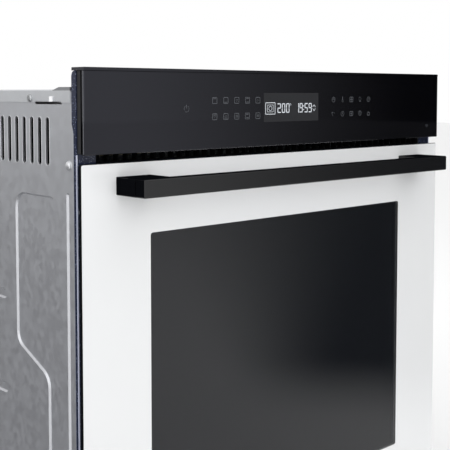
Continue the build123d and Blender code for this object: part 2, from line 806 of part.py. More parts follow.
def wire_shelf():
    """Wire grid on a bent frame whose front bar drops below the rails."""
    r = rack_wire_radius
    x = rail_x - 2.0
    front, back = rail_front + 7, rail_back + 4
    z, drop = shelf_z(), 6.8
    rail = [(-x, back, z), (-x, front + 24, z), (-x + 8, front, z - drop),
            (x - 8, front, z - drop), (x, front + 24, z), (x, back, z)]
    parts = [bent_rod(rail, 6.0, r), rod((-x, back, z), (x, back, z), r)]
    parts += [ball((side * x, back, z), r) for side in (-1, 1)]
    for y in (front + 114, back - 114):
        parts.append(rod((-x + 1, y, z - 3.4), (x - 1, y, z - 3.4), 2.0))
    spacing = 2 * (x - 16) / (shelf_wires - 1)
    for i in range(shelf_wires):
        wire_x = -x + 16 + spacing * i
        wire = [(wire_x, back, z), (wire_x, front + 22, z), (wire_x, front, z - drop)]
        parts.append(bent_rod(wire, 10.0, shelf_wire_radius))
    return fuse(parts)


def baking_tray():
    """Enamelled tray: flat rim that rides on the rails, rounded basin."""
    rim_z = rail_heights()[tray_level] + rack_wire_radius + slide_clearance
    x, basin_x = upright_x - rack_wire_radius - 1.0, rail_x - rack_wire_radius - 12
    y = (rail_front - 7, rail_back + 5)
    basin_y = (y[0] + 16, y[1] - 16)
    top = rim_z + tray_sheet
    rim = flat_plate(rect(both(x), y, 18), rim_z, top)
    outer = flat_plate(rect(both(basin_x + tray_sheet), (basin_y[0] - tray_sheet, basin_y[1] + tray_sheet),
                            24 + tray_sheet), top - tray_basin_depth, top)
    outer = fillet(outer.edges().group_by(Axis.Z)[0], 6.0)
    inner = flat_plate(rect(both(basin_x), basin_y, 24), top - tray_basin_depth + tray_sheet, top + 1)
    inner = fillet(inner.edges().group_by(Axis.Z)[0], 5.0)
    return rim.fuse(outer) - inner


def grill_element():
    """Tube heater folded back and forth under the cavity roof, legs through the back."""
    end = insulation_rear + 8
    back, front, inner_back = cavity_back - 50, seal_back + 45, cavity_back - 95
    half = [(-20, end), (-20, back), (-150, back), (-150, front), (-95, front),
            (-95, inner_back), (-40, inner_back), (-40, front)]
    points = half + [(-x, y) for x, y in reversed(half)]
    return bent_rod([(x, y, grill_z) for x, y in points], 14.0, element_radius)


def bottom_element():
    """Tube heater pressed against the underside of the cavity floor."""
    end = insulation_rear + 8
    back, front = cavity_back - 45, seal_back + 65
    half = [(-30, end), (-30, back), (-165, back), (-165, front)]
    points = half + [(-x, y) for x, y in reversed(half)]
    return bent_rod([(x, y, base_heater_z) for x, y in points], 20.0, element_radius)


def ring_element():
    """Round heater about the convection fan, with two legs through the back."""
    y = cavity_back - 14
    half_gap = math.degrees(math.asin(ring_leg_x / ring_radius))
    section = Plane((ring_leg_x, y, ring_leg_z), x_dir=(0, 1, 0), z_dir=(-ring_leg_z + fan_z, 0, ring_leg_x))
    ring = revolve(section * Circle(element_radius), Axis((0, y, fan_z), (0, -1, 0)), 360 - 2 * half_gap)
    parts = [ring]
    for x in (-ring_leg_x, ring_leg_x):
        parts.append(ball((x, y, ring_leg_z), element_radius + 0.4))
        parts.append(rod((x, y, ring_leg_z), (x, insulation_rear + 8, ring_leg_z), element_radius))
    return fuse(parts)


def fan_cover():
    """Pressed baffle over the fan: round intake holes, side outlets, open back."""
    x, z = fan_cover_width / 2, fan_cover_height / 2
    front = cavity_back - fan_cover_depth
    outer = rect(both(x), (fan_z - z, fan_z + z), 18)
    inner = rect(both(x - liner_sheet), (fan_z - z + liner_sheet, fan_z + z - liner_sheet), 17)
    cover = upright_plate(outer, front, cavity_back) - upright_plate(inner, front + liner_sheet, cavity_back + 1)
    holes = Circle(3.2)
    for ring, count in ((16, 8), (30, 14), (44, 20), (58, 26)):
        for i in range(count):
            angle = 2 * math.pi * i / count
            holes += Pos(ring * math.cos(angle), ring * math.sin(angle)) * Circle(3.2)
    for side in (-1, 1):
        for i in range(7):
            holes += Pos(side * (x - 22), -72 + 24 * i) * SlotOverall(28, 6)
    return cover - upright_plate(Pos(0, fan_z) * holes, front - 1, front + 2)


def convection_fan():
    """Stamped fan wheel on its shaft."""
    back = cavity_back - 5
    disc = rod((0, back - 1.5, fan_z), (0, back, fan_z), fan_radius)
    parts = [disc, rod((0, back - 12, fan_z), (0, back, fan_z), 9.0)]
    parts.append(rod((0, back - 22, fan_z), (0, insulation_rear + 31, fan_z), shaft_radius))
    for i in range(fan_blades):
        blade = Rot(0, 360 / fan_blades * i, 0) * Pos(fan_radius - 20, 0, 0) * Rot(0, 30, 0)
        parts.append(Pos(0, back - 1 - fan_blade_depth / 2, fan_z) * blade * Box(34, fan_blade_depth, 1.2))
    return fuse(parts)


def convection_motor():
    """Motor behind the insulation, on a plate with three feet."""
    y = insulation_rear
    plate = upright_plate(Pos(0, fan_z) * RectangleRounded(110, 84, 10), y, y + 1.5)
    can = rod((0, y + 1.5, fan_z), (0, y + 34, fan_z), 34.0)
    can = fillet(can.edges().sort_by(Axis.Y)[-1], 4.0)
    bore = rod((0, y - 1, fan_z), (0, y + 32, fan_z), shaft_radius + running_clearance)
    return plate.fuse(can) - bore


def lamp_housing():
    """Sheet cup behind the cavity wall with the bulb's socket in it."""
    wall = 1.2
    radius = lamp_radius + 6
    y = (liner_back, insulation_rear - 1)
    cup = rod((lamp_x, y[0], lamp_z), (lamp_x, y[1], lamp_z), radius)
    cup -= rod((lamp_x, y[0] - 1, lamp_z), (lamp_x, y[1] - wall, lamp_z), radius - wall)
    socket = rod((lamp_x, y[1] - 9, lamp_z), (lamp_x, y[1] - wall / 2, lamp_z), 9.0)
    return cup.fuse(socket)


def lamp_bulb():
    """Small halogen bulb: round envelope on a short neck."""
    base = insulation_rear - 10
    neck = rod((lamp_x, base - 6, lamp_z), (lamp_x, base, lamp_z), 4.0)
    return neck.fuse(ball((lamp_x, base - 10, lamp_z), 6.5))


def lamp_lens():
    """Screwed glass cap on the cavity side."""
    cap = rod((lamp_x, cavity_back - 11, lamp_z), (lamp_x, cavity_back, lamp_z), lamp_radius)
    cap = fillet(cap.edges().sort_by(Axis.Y)[0], 6.0)
    collar = rod((lamp_x, cavity_back - 1, lamp_z), (lamp_x, liner_back + 4, lamp_z), lamp_radius - 3.3)
    hollow = rod((lamp_x, cavity_back - 8, lamp_z), (lamp_x, liner_back + 5, lamp_z), lamp_radius - 6)
    return cap.fuse(collar) - hollow


def temperature_sensor():
    """Thin steel probe with a small flange, through the back wall."""
    x, z = 120.0, grill_z - 12
    probe = rod((x, cavity_back - 60, z), (x, insulation_rear + 4, z), 2.0)
    flange = rod((x, liner_back, z), (x, liner_back + 1.5, z), 6.0)
    return probe.fuse(flange, ball((x, cavity_back - 60, z), 2.0))


# ------------------------------------------------------------------- hinge
def hinge_plane_x(side, half_thickness):
    """X limits of a plate centred on one hinge."""
    return (side * hinge_x - half_thickness, side * hinge_x + half_thickness)


def arm_outline():
    """Flat arm: hub at the pivot, boss for the rod pin, two hooks at the back."""
    hub = Pos(pivot_y, pivot_z) * Circle(arm_half_height)
    z = (pivot_z - arm_half_height, pivot_z + arm_half_height)
    body = rect((pivot_y, receiver_upper_y + 6), z)
    boss_y, boss_z = pivot_y + crank_offset, pivot_z + crank_offset
    boss = Pos(boss_y, boss_z) * Circle(rod_pin_radius + 2.2)
    neck = make_face(Polyline((boss_y - 4.5, pivot_z), (boss_y - 4.5, boss_z),
                              (boss_y + 4.5, boss_z), (boss_y + 12, pivot_z), close=True))
    hook = rect((receiver_lower_y + 3.3, receiver_lower_y + 9), (z[0] - 5, z[0] + 1))
    return hub + body + neck + boss + hook


receiver_lower_y = 58.0
receiver_upper_y = 80.0
receiver_bar_radius = 3.0


def hinge_arm(side):
    arm = side_plate(arm_outline(), *hinge_plane_x(side, arm_thickness / 2))
    pivot = side_plate(Pos(pivot_y, pivot_z) * Circle(pivot_pin_radius), *hinge_plane_x(side, pivot_half))
    boss = Pos(pivot_y + crank_offset, pivot_z + crank_offset) * Circle(rod_pin_radius)
    return arm.fuse(pivot, side_plate(boss, *hinge_plane_x(side, 6.5)))


def hinge_receiver(side):
    """Folded bracket on the base pan with two cross bars that hold the arm."""
    x0, x1 = hinge_plane_x(side, 7.5)
    front = seal_back + casing_sheet
    z = (casing_sheet, 50.0)
    wall = 1.5
    face = block((x0, x1), (front, front + wall), z)
    face -= block(hinge_plane_x(side, arm_thickness / 2 + 0.8), (front - 1, front + wall + 1),
                  (pivot_z - arm_half_height - 2, pivot_z + arm_half_height + 5))
    parts = [face, block((x0, x1), (front, 95), (z[0], z[0] + wall))]
    parts += [block(x, (front, 95), z) for x in ((x0, x0 + wall), (x1 - wall, x1))]
    lower_z = pivot_z - arm_half_height - receiver_bar_radius
    upper_z = pivot_z + arm_half_height + receiver_bar_radius
    parts.append(rod((x0, receiver_lower_y, lower_z), (x1, receiver_lower_y, lower_z), receiver_bar_radius))
    parts.append(rod((x0, receiver_upper_y, upper_z), (x1, receiver_upper_y, upper_z), receiver_bar_radius))
    return fuse(parts)


def rod_y():
    """Centre line of the spring rod, in the middle of the pin's swing."""
    return pivot_y + (crank_offset + crank_radius) / 2


def hinge_channel(side):
    """U-section in the door stile; turns on the arm's pin and seats the spring."""
    outer = 9.5
    y = (door_glass + stile_sheet, stile_back - 3)
    z = (door_body_bottom + 0.5, door_body_bottom + 0.5 + channel_height)
    x0, x1 = hinge_plane_x(side, outer)
    s = channel_sheet
    walls = block((x0, x0 + s), y, z).fuse(block((x1 - s, x1), y, z), block((x0, x1), (y[0], y[0] + s), z))
    seat_z = pivot_z + spring_seat_height
    seat = block((x0, x1), (y[0], y[1]), (seat_z - 3, seat_z))
    seat -= rod((side * hinge_x, rod_y(), seat_z - 5), (side * hinge_x, rod_y(), seat_z + 5), rod_radius + 0.5)
    bore = Pos(pivot_y, pivot_z) * Circle(pivot_pin_radius + running_clearance)
    return walls.fuse(seat) - side_plate(bore, x0 - 1, x1 + 1)


def hinge_rod(side):
    """Spring rod: fork with a slot for the arm's pin, shank and collar nut."""
    x = side * hinge_x
    z0 = pivot_z
    slot_z = z0 + crank_offset
    swing = crank_radius - crank_offset
    slot_half = rod_pin_radius + rod_slot_clearance
    slot = Pos(rod_y(), slot_z) * SlotOverall(swing + 2 * slot_half, 2 * slot_half)
    y = (pivot_y + 4.2, stile_back - 1.4)
    cheek = rect(y, (slot_z - slot_half - 2.5, z0 + 28), 1.0) - slot
    parts = []
    for offset in (-1, 1):
        near, far = sorted((x + offset * 3.5, x + offset * 5.5))
        parts.append(side_plate(cheek, near, far))
    parts.append(block((x - 5.5, x + 5.5), (rod_y() - 3.5, rod_y() + 3.5), (z0 + 18, z0 + 28)))
    spring_top = z0 + spring_seat_height + spring_length
    parts.append(rod((x, rod_y(), z0 + 27), (x, rod_y(), spring_top + 14), rod_radius))
    parts.append(rod((x, rod_y(), spring_top), (x, rod_y(), spring_top + 6), 6.5))
    return fuse(parts)


def hinge_spring(side):
    """Compression spring between the channel's seat and the rod's nut."""
    low = pivot_z + spring_seat_height
    r = spring_wire_radius
    rise = spring_length - 2 * r - 0.2
    path = Helix(pitch=rise / spring_turns, height=rise, radius=spring_mean_radius)
    start = path @ 0
    wire = sweep(Plane(start, z_dir=path % 0) * Circle(r), path=path)
    return Pos(side * hinge_x, rod_y(), low + r + 0.1) * wire


# -------------------------------------------------------------------- door
def handle_screw_places():
    """(x, z) of the screws through the door glass into the handle posts."""
    x = handle_length / 2 - post_width / 2
    return [(side * x, door_top - handle_drop - handle_height / 2) for side in (-1, 1)]


def door_outer_glass():
    glass = rect(both(door_width / 2), (door_bottom, door_top), door_corner)
    for x, z in handle_screw_places():
        glass -= Pos(x, z) * Circle(handle_screw_radius + 1.0)
    pane = upright_plate(glass, 0, door_glass)
    front = pane.faces().sort_by(Axis.Y)[0]
    return chamfer(front.outer_wire().edges(), 0.5)


def door_middle_glass():
    x = half_door_body - stile_width - 0.5
    z = (inner_pane_bottom, door_body_top - cap_height)
    return block(both(x), (16.0, 16.0 + middle_pane), z)


def door_inner_glass():
    x = half_door_body - stile_width + inner_pane_overlap
    z = (inner_pane_bottom, door_body_top - cap_height)
    pane = block(both(x), (stile_back, door_body_back), z)
    return chamfer(pane.faces().sort_by(Axis.Y)[-1].edges(), 0.6)


def door_stile(side):
    """Box-section upright of folded sheet, open below for the hinge arm."""
    x0, x1 = half_door_body - stile_width, half_door_body
    s = stile_sheet
    z = (door_body_bottom, door_body_top - cap_height)
    y = (door_glass, stile_back)
    parts = [block(outward(side, x1 - s, x1), y, z), block(outward(side, x0, x1), (y[0], y[0] + s), z)]
    parts.append(block(outward(side, x0, x0 + s), y, z))
    parts.append(block(outward(side, x0, x1), (y[1] - s, y[1]), (inner_pane_bottom, z[1])))
    sx, sz = handle_screw_places()[0 if side < 0 else 1]
    return fuse(parts) - rod((sx, y[0] - 1, sz), (sx, y[0] + 7, sz), 8.0)


def door_top_cap():
    """Moulded cap over the panes with slots that let the door breathe."""
    z = (door_body_top - cap_height, door_body_top)
    y = (door_glass, door_body_back)
    cap = block(both(half_door_body), y, z)
    cap = fillet(cap.edges().filter_by(Axis.X).sort_by(Axis.Z)[-2:], 1.5)
    cap -= block(both(half_door_body - 3), (y[0] + 2, y[1] - 2), (z[0] - 1, z[1] - 2.5))
    slots = [Pos(-240 + 24 * i, (y[0] + y[1]) / 2) * SlotOverall(16, 5) for i in range(21)]
    return cap - [flat_plate(slot, z[1] - 4, z[1] + 1) for slot in slots]


def door_bottom_cap():
    """Moulded rail between the stiles that carries the panes' lower edges."""
    x = half_door_body - stile_width
    z = (door_body_bottom, inner_pane_bottom)
    y = (door_glass, door_body_back)
    rail = block(both(x), y, z)
    slots = [Pos(-216 + 24 * i, (y[0] + y[1]) / 2 + 4) * SlotOverall(16, 8) for i in range(19)]
    return rail - [flat_plate(slot, z[0] - 1, z[1] + 1) for slot in slots]


def handle_z():
    top = door_top - handle_drop
    return (top - handle_height, top)


def handle_bar():
    bar = block(both(handle_length / 2), (-handle_reach, -handle_reach + handle_depth), handle_z())
    return chamfer(bar.edges(), handle_chamfer)


def handle_post(side):
    """Block between bar and glass, tapped for the screw."""
    x = outward(side, handle_length / 2 - post_width, handle_length / 2)
    post = block(x, (-handle_reach + handle_depth, 0), handle_z())
    post = chamfer(post.edges().filter_by(Axis.Y), post_chamfer)
    sx, sz = handle_screw_places()[0 if side < 0 else 1]
    return post - rod((sx, -24, sz), (sx, 1, sz), handle_screw_radius + running_clearance)


def handle_screws():
    """Cap screws through the glass, each with a wide washer head."""
    screws = []
    for x, z in handle_screw_places():
        shank = rod((x, -22, z), (x, door_glass + 1, z), handle_screw_radius)
        head = rod((x, door_glass, z), (x, door_glass + 1.5, z), 7.0)
        cap = rod((x, door_glass + 1, z), (x, door_glass + 5.5, z), 4.2)
        socket = Pos(x, z) * RegularPolygon(2.2, 6)
        screws.append(shank.fuse(head, cap) - upright_plate(socket, door_glass + 3, door_glass + 6))
    return Compound(screws)


# ------------------------------------------------------------------- write
def write_all():
    single = [front_frame, door_bumpers, top_cover, top_brackets, base_pan, rear_panel, casing_screws,
              terminal_box, cord_inlet, control_glass, panel_top_trim, control_housing, display_module,
              control_board, power_board, air_outlet_grille, air_duct, blower_housing, cooling_fan,
              blower_motor, cavity_liner, insulation, door_gasket, wire_shelf, baking_tray, grill_element,
              bottom_element, ring_element, fan_cover, convection_fan, convection_motor, lamp_housing,
              lamp_bulb, lamp_lens, temperature_sensor, door_outer_glass, door_middle_glass,
              door_inner_glass, door_top_cap, door_bottom_cap, handle_bar, handle_screws]
    paired = [side_panel, side_rack, hinge_arm, hinge_receiver, hinge_channel, hinge_rod, hinge_spring,
              door_stile, handle_post]
    for make in single:
        write_part(make.__name__, make())
    for make in paired:
        for side, name in ((-1, "left"), (1, "right")):
            write_part(f"{make.__name__}_{name}", make(side))


write_all()
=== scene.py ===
import math

import bmesh
import bpy
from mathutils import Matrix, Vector


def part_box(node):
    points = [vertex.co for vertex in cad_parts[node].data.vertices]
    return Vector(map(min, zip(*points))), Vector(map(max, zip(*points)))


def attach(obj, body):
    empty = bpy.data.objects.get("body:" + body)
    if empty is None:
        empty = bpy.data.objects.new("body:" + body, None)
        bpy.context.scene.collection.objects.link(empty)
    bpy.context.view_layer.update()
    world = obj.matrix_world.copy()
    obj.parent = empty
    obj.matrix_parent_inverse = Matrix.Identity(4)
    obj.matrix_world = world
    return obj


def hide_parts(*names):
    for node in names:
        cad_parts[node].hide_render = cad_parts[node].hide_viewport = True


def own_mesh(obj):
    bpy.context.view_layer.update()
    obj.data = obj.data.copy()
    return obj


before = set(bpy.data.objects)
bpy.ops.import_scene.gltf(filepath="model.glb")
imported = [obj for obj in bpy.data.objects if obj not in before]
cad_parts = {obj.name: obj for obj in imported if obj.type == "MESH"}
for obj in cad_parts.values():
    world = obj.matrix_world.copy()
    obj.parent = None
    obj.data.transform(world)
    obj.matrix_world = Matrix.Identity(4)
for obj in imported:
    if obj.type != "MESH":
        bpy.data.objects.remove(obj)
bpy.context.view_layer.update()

# The camera stands to the left of the door, just under the height of the
# oven's top edge, and looks slightly down past the handle.
FRONT_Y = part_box("door_outer_glass")[0][1]
OVEN_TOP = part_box("panel_top_trim")[1][2]
LEVEL_YAW, PITCH_DOWN = math.radians(42.5), math.radians(3.47)
camera_data = bpy.data.cameras.new("camera")
camera_data.lens, camera_data.sensor_width = 74.24, 36.0
camera_data.shift_y = -0.170
camera = bpy.data.objects.new("camera", camera_data)
camera.location = (-0.8047, FRONT_Y - 0.7625, OVEN_TOP - 0.0248)
camera.rotation_euler = (math.pi / 2 - PITCH_DOWN, 0, -LEVEL_YAW)
bpy.context.collection.objects.link(camera)
bpy.context.scene.camera = camera
bpy.context.scene.view_settings.view_transform = "Standard"


# Colours are written as sRGB hex; one function turns them linear, and one
# small function adds a node to a material with its settings and its links.
def linear(hex_colour):
    parts = [int(hex_colour[i:i + 2], 16) / 255 for i in (1, 3, 5)]
    return tuple(p / 12.92 if p <= 0.04045 else ((p + 0.055) / 1.055) ** 2.4 for p in parts) + (1.0,)


def put(tree, kind, links=None, values=None, **settings):
    node = tree.nodes.new(kind)
    for name, value in settings.items():
        setattr(node, name, value)
    for socket, value in (values or {}).items():
        node.inputs[socket].default_value = value
    for socket, source in (links or {}).items():
        tree.links.new(source, node.inputs[socket])
    return node


# The studio: a pale floor with painted reflections, dark ahead and to the right and grey in a patch beside the
# casing, for the steel and glass to mirror; a soft surround and three soft lamps.
FLOOR_HALF = 14.0
FALL_LOW, FALL_HIGH = 0.56, 0.815


def ramp(tree, source, low, high, at_low, at_high):
    node = put(tree, "ShaderNodeMapRange", {"Value": source},
               {"From Min": low, "From Max": high, "To Min": at_low, "To Max": at_high},
               interpolation_type="SMOOTHSTEP")
    return node.outputs["Result"]


def product(tree, first, second):
    return put(tree, "ShaderNodeMath", {0: first, 1: second}, operation="MULTIPLY").outputs[0]


def floor_paint():
    material = bpy.data.materials.new("pale_floor_painted_reflections")
    material.use_nodes = True
    tree, shader = material.node_tree, material.node_tree.nodes["Principled BSDF"]
    shader.inputs["Roughness"].default_value = 0.9
    spot = put(tree, "ShaderNodeTexCoord").outputs["Object"]
    from_door = put(tree, "ShaderNodeVectorMath", {0: spot}, {1: (0, -FRONT_Y, 0)}, operation="ADD")
    bearing = put(tree, "ShaderNodeVectorMath", {0: from_door.outputs["Vector"]}, operation="NORMALIZE")
    distance = put(tree, "ShaderNodeVectorMath", {0: from_door.outputs["Vector"]}, operation="LENGTH")
    toward = put(tree, "ShaderNodeSeparateXYZ", {"Vector": bearing.outputs["Vector"]})
    place = put(tree, "ShaderNodeSeparateXYZ", {"Vector": spot})
    # Painted reflection: the floor darkens ahead and to the right, and goes grey in a patch beside the casing.
    fall = product(tree, ramp(tree, toward.outputs["X"], FALL_LOW, FALL_HIGH, 0.0, 1.0),
                   ramp(tree, toward.outputs["Y"], 0.0, 0.15, 1.0, 0.0))
    fall = product(tree, fall, ramp(tree, distance.outputs["Value"], 0.45, 0.9, 0.0, 1.0))
    beside = product(tree, ramp(tree, place.outputs["X"], -0.34, -0.29, 1.0, 0.0),
                     ramp(tree, place.outputs["Y"], -0.30, -0.25, 0.0, 1.0))
    painted_grey_patch = put(tree, "ShaderNodeMix", {"Factor": beside}, data_type="RGBA")
    painted_grey_patch.inputs["A"].default_value, painted_grey_patch.inputs["B"].default_value = linear("#F4F4F4"), linear("#58585B")
    shaded = put(tree, "ShaderNodeMix", {"Factor": fall, "A": painted_grey_patch.outputs["Result"]}, data_type="RGBA")
    shaded.inputs["B"].default_value = linear("#101012")
    tree.links.new(shaded.outputs["Result"], shader.inputs["Base Color"])
    return material


floor_mesh = bpy.data.meshes.new("studio_floor")
floor_mesh.from_pydata([(-FLOOR_HALF, -FLOOR_HALF, 0), (FLOOR_HALF, -FLOOR_HALF, 0),
                        (FLOOR_HALF, FLOOR_HALF, 0), (-FLOOR_HALF, FLOOR_HALF, 0)], [], [(0, 1, 2, 3)])
floor = bpy.data.objects.new("studio_floor", floor_mesh)
floor_mesh.materials.append(floor_paint())
bpy.context.collection.objects.link(floor)

world = bpy.data.worlds.new("studio_surround")
bpy.context.scene.world = world
world.use_nodes = True
surround = world.node_tree
direction = put(surround, "ShaderNodeTexCoord")
axes = put(surround, "ShaderNodeSeparateXYZ", {"Vector": direction.outputs["Generated"]})
right_fall = ramp(surround, axes.outputs["X"], FALL_LOW, FALL_HIGH, 1.0, 0.01)
left_rise = ramp(surround, axes.outputs["X"], -0.70, -0.40, 1.8, 1.0)
ahead_level = product(surround, right_fall, left_rise)
behind_level = ramp(surround, axes.outputs["X"], -0.20, 0.35, 0.84, 1.0)
ahead = put(surround, "ShaderNodeMath", {0: axes.outputs["Y"]}, {1: 0.15}, operation="LESS_THAN")
level = put(surround, "ShaderNodeMix", {"Factor": ahead.outputs[0], "A": behind_level,
                                        "B": ahead_level})
surround.links.new(level.outputs[0], surround.nodes["Background"].inputs["Strength"])
surround.nodes["Background"].inputs["Color"].default_value = linear("#FFFFFF")


def soft_lamp(name, place, target, size, watts):
    data = bpy.data.lights.new(name, "AREA")
    data.shape, data.size, data.energy = "SQUARE", size, watts
    lamp = bpy.data.objects.new(name, data)
    lamp.location = place
    lamp.rotation_euler = (Vector(target) - Vector(place)).to_track_quat("-Z", "Y").to_euler()
    bpy.context.collection.objects.link(lamp)
    lamp.visible_glossy = False


MIDDLE = (0, 0, 0.3)
soft_lamp("lamp_above", (0.2, -0.6, 2.6), MIDDLE, 2.0, 14)
soft_lamp("lamp_left", (-2.4, 0.2, 1.4), MIDDLE, 1.6, 10)
soft_lamp("lamp_front", (-0.4, -2.6, 1.2), MIDDLE, 1.8, 12)


# Casing, ducts, brackets, hinge channels and door stiles: folded sheet of
# hot-dip galvanised steel, a satin grey with a faint crystal spangle.
SPANGLE = 0.007
GRAIN = 0.0006


def new_material(name, colour, metallic, roughness):
    material = bpy.data.materials.new(name)
    material.use_nodes = True
    shader = material.node_tree.nodes["Principled BSDF"]
    shader.inputs["Base Color"].default_value = linear(colour)
    shader.inputs["Metallic"].default_value = metallic
    shader.inputs["Roughness"].default_value = roughness
    return material, material.node_tree, shader


def object_coords(tree, stretch=(1, 1, 1)):
    place = put(tree, "ShaderNodeTexCoord")
    return put(tree, "ShaderNodeMapping", {"Vector": place.outputs["Object"]}, {"Scale": stretch})


def vary(tree, source, low, high):
    """Value that runs from low to high as the source runs from 0 to 1."""
    return put(tree, "ShaderNodeMapRange", {"Value": source}, {"To Min": low, "To Max": high}).outputs["Result"]


def bump_from(tree, shader, source, height, strength=0.5):
    bump = put(tree, "ShaderNodeBump", {"Height": source}, {"Distance": height, "Strength": strength})
    tree.links.new(bump.outputs["Normal"], shader.inputs["Normal"])


def tint(tree, shader, source, dark, light):
    """Base colour mixed between two hex colours by the source."""
    mix = put(tree, "ShaderNodeMix", {"Factor": source}, data_type="RGBA")
    mix.inputs["A"].default_value, mix.inputs["B"].default_value = linear(dark), linear(light)
    tree.links.new(mix.outputs["Result"], shader.inputs["Base Color"])


def galvanised_steel(name, dark, light):
    material, tree, shader = new_material(name, light, 0.85, 0.42)
    at = object_coords(tree).outputs["Vector"]
    crystals = put(tree, "ShaderNodeTexVoronoi", {"Vector": at}, {"Scale": 1 / SPANGLE})
    grains = put(tree, "ShaderNodeSeparateColor", {"Color": crystals.outputs["Color"]}).outputs["Red"]
    cloud = put(tree, "ShaderNodeTexNoise", {"Vector": at}, {"Scale": 9.0, "Detail": 3.0}).outputs["Fac"]
    both = put(tree, "ShaderNodeMix", {"A": grains, "B": cloud}, {"Factor": 0.55}).outputs[0]
    tint(tree, shader, both, dark, light)
    tree.links.new(vary(tree, grains, 0.37, 0.47), shader.inputs["Roughness"])
    fine = put(tree, "ShaderNodeTexNoise", {"Vector": at}, {"Scale": 1 / GRAIN, "Detail": 2.0}).outputs["Fac"]
    bump_from(tree, shader, fine, 0.00003, 0.25)
    return material


def finish_nodes(material, *names):
    """Give CAD nodes their material; their shapes stay as they are."""
    for name in names:
        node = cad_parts[name]
        node.data.materials.clear()
        node.data.materials.append(material)


GALVANISED = galvanised_steel("galvanised_steel", "#C2C3C7", "#CCCED2")
finish_nodes(GALVANISED, "side_panel_left", "side_panel_right", "rear_panel", "base_pan", "air_duct",
             "blower_housing", "lamp_housing", "hinge_receiver_left", "hinge_receiver_right",
             "hinge_channel_left", "hinge_channel_right", "door_stile_left", "door_stile_right")
# Lit and shaded copies of the same steel: the top cover is lighter, a painted highlight, and the top brackets
# darker, painted shade.
finish_nodes(galvanised_steel("galvanised_steel_painted_highlight", "#D2D4D7", "#DCDEE1"), "top_cover")
finish_nodes(galvanised_steel("galvanised_steel_painted_shade", "#98999C", "#A4A5A8"), "top_brackets")


# Spot welds: rows of low round marks where the casing sheets are joined to
# the frame and to each other, left by the welding electrodes.
WELD_RADIUS, WELD_HEIGHT = 0.0024, 0.0006
WELD_Z, WELD_FROM_FRONT, WELD_FROM_BACK = 0.014, 0.09, 0.05
WELD_BACK_INSET, WELD_BACK_LOW, WELD_BACK_HIGH = 0.024, 0.06, 0.52
FACING_SIDE = (0, math.pi / 2, 0)


def new_tree(name, **inputs):
    """Geometry node tree with these named inputs and a last one for its material."""
    tree = bpy.data.node_groups.new(name, "GeometryNodeTree")
    tree.interface.new_socket("Geometry", in_out="OUTPUT", socket_type="NodeSocketGeometry")
    for label, kind in (*inputs.items(), ("Material", "Material")):
        tree.interface.new_socket(label, in_out="INPUT", socket_type="NodeSocket" + kind)
    return tree, put(tree, "NodeGroupInput").outputs


def repeat_on(tree, entry, points, piece, links=None, values=None):
    """End of a tree: the piece on every point, made real and painted."""
    joined = {"Points": points, "Instance": piece, **(links or {})}
    spread = put(tree, "GeometryNodeInstanceOnPoints", joined, values)
    real = put(tree, "GeometryNodeRealizeInstances", {"Geometry": spread.outputs["Instances"]})
    painted = put(tree, "GeometryNodeSetMaterial", {"Geometry": real.outputs["Geometry"],
                                                    "Material": entry["Material"]})
    put(tree, "NodeGroupOutput", {"Geometry": painted.outputs["Geometry"]})
    return tree


def points_between(tree, entry):
    return put(tree, "GeometryNodeMeshLine", {"Start Location": entry["Start"], "Offset": entry["End"],
                                              "Count": entry["Count"]}, mode="END_POINTS").outputs["Mesh"]


def weld_tree():
    tree, entry = new_tree("weld_row", Start="Vector", End="Vector", Turn="Vector", Count="Int", Radius="Float",
                           Depth="Float")
    mark = put(tree, "GeometryNodeMeshCylinder", {"Radius": entry["Radius"], "Depth": entry["Depth"]},
               {"Vertices": 20})
    return repeat_on(tree, entry, points_between(tree, entry), mark.outputs["Mesh"], {"Rotation": entry["Turn"]})


def grow(name, tree, values):
    """Run a node tree on an empty mesh with these inputs and keep the result as a plain mesh."""
    holder = bpy.data.objects.new(name, bpy.data.meshes.new(name + "_seed"))
    bpy.context.collection.objects.link(holder)
    modifier = holder.modifiers.new("grow", "NODES")
    modifier.node_group = tree
    for item in tree.interface.items_tree:
        if item.item_type == "SOCKET" and item.in_out == "INPUT":
            modifier[item.identifier] = values[item.name]
    graph = bpy.context.evaluated_depsgraph_get()
    mesh = bpy.data.meshes.new_from_object(holder.evaluated_get(graph))
    holder.modifiers.remove(modifier)
    holder.data = mesh
    return holder


def weld_row(name, start, end, count):
    row = grow(name, WELD_TREE, {"Start": start, "End": end, "Turn": FACING_SIDE, "Count": count,
                                 "Radius": WELD_RADIUS, "Depth": WELD_HEIGHT, "Material": GALVANISED})
    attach(row, "chassis")


WELD_TREE = weld_tree()
CASE_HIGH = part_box("rear_panel")[1]
PANEL_X = CASE_HIGH[0]
for side, name in ((-1, "left"), (1, "right")):
    x, back_y = side * PANEL_X, CASE_HIGH[1] - WELD_BACK_INSET
    weld_row("welds_side_bottom_" + name, (x, FRONT_Y + WELD_FROM_FRONT, WELD_Z),
             (x, CASE_HIGH[1] - WELD_FROM_BACK, WELD_Z), 9)
    weld_row("welds_side_back_" + name, (x, back_y, WELD_BACK_LOW), (x, back_y, WELD_BACK_HIGH), 8)


# Side vents: every slot has a rolled rim, a black sheet hangs behind each row, and a bent tab and a pressed dome
# stand out; the rims and domes are lighter steel and the tab white, painted highlights, and the black sheet is
# painted shade in the slots.
VENT_COUNT, VENT_PITCH, VENT_FIRST, VENT_Z = 12, 0.0159, 0.0893, 0.5183
RIM_WIDTH, RIM_HEIGHT, RIM_WIRE = 0.0082, 0.0522, 0.0003
SCREEN_DEPTH, SCREEN_MARGIN, SCREEN_HALF = 0.0040, 0.010, 0.031
THIN = 0.0002
TAB_FRONT, TAB_BACK, TAB_LOW, TAB_HIGH = 0.0750, 0.0820, 0.0105, 0.0050
DOME_Y, DOME_Z, DOME_RADIUS, DOME_HEIGHT, DOME_LIFT = 0.0485, 0.4947, 0.0046, 0.0024, 0.0006


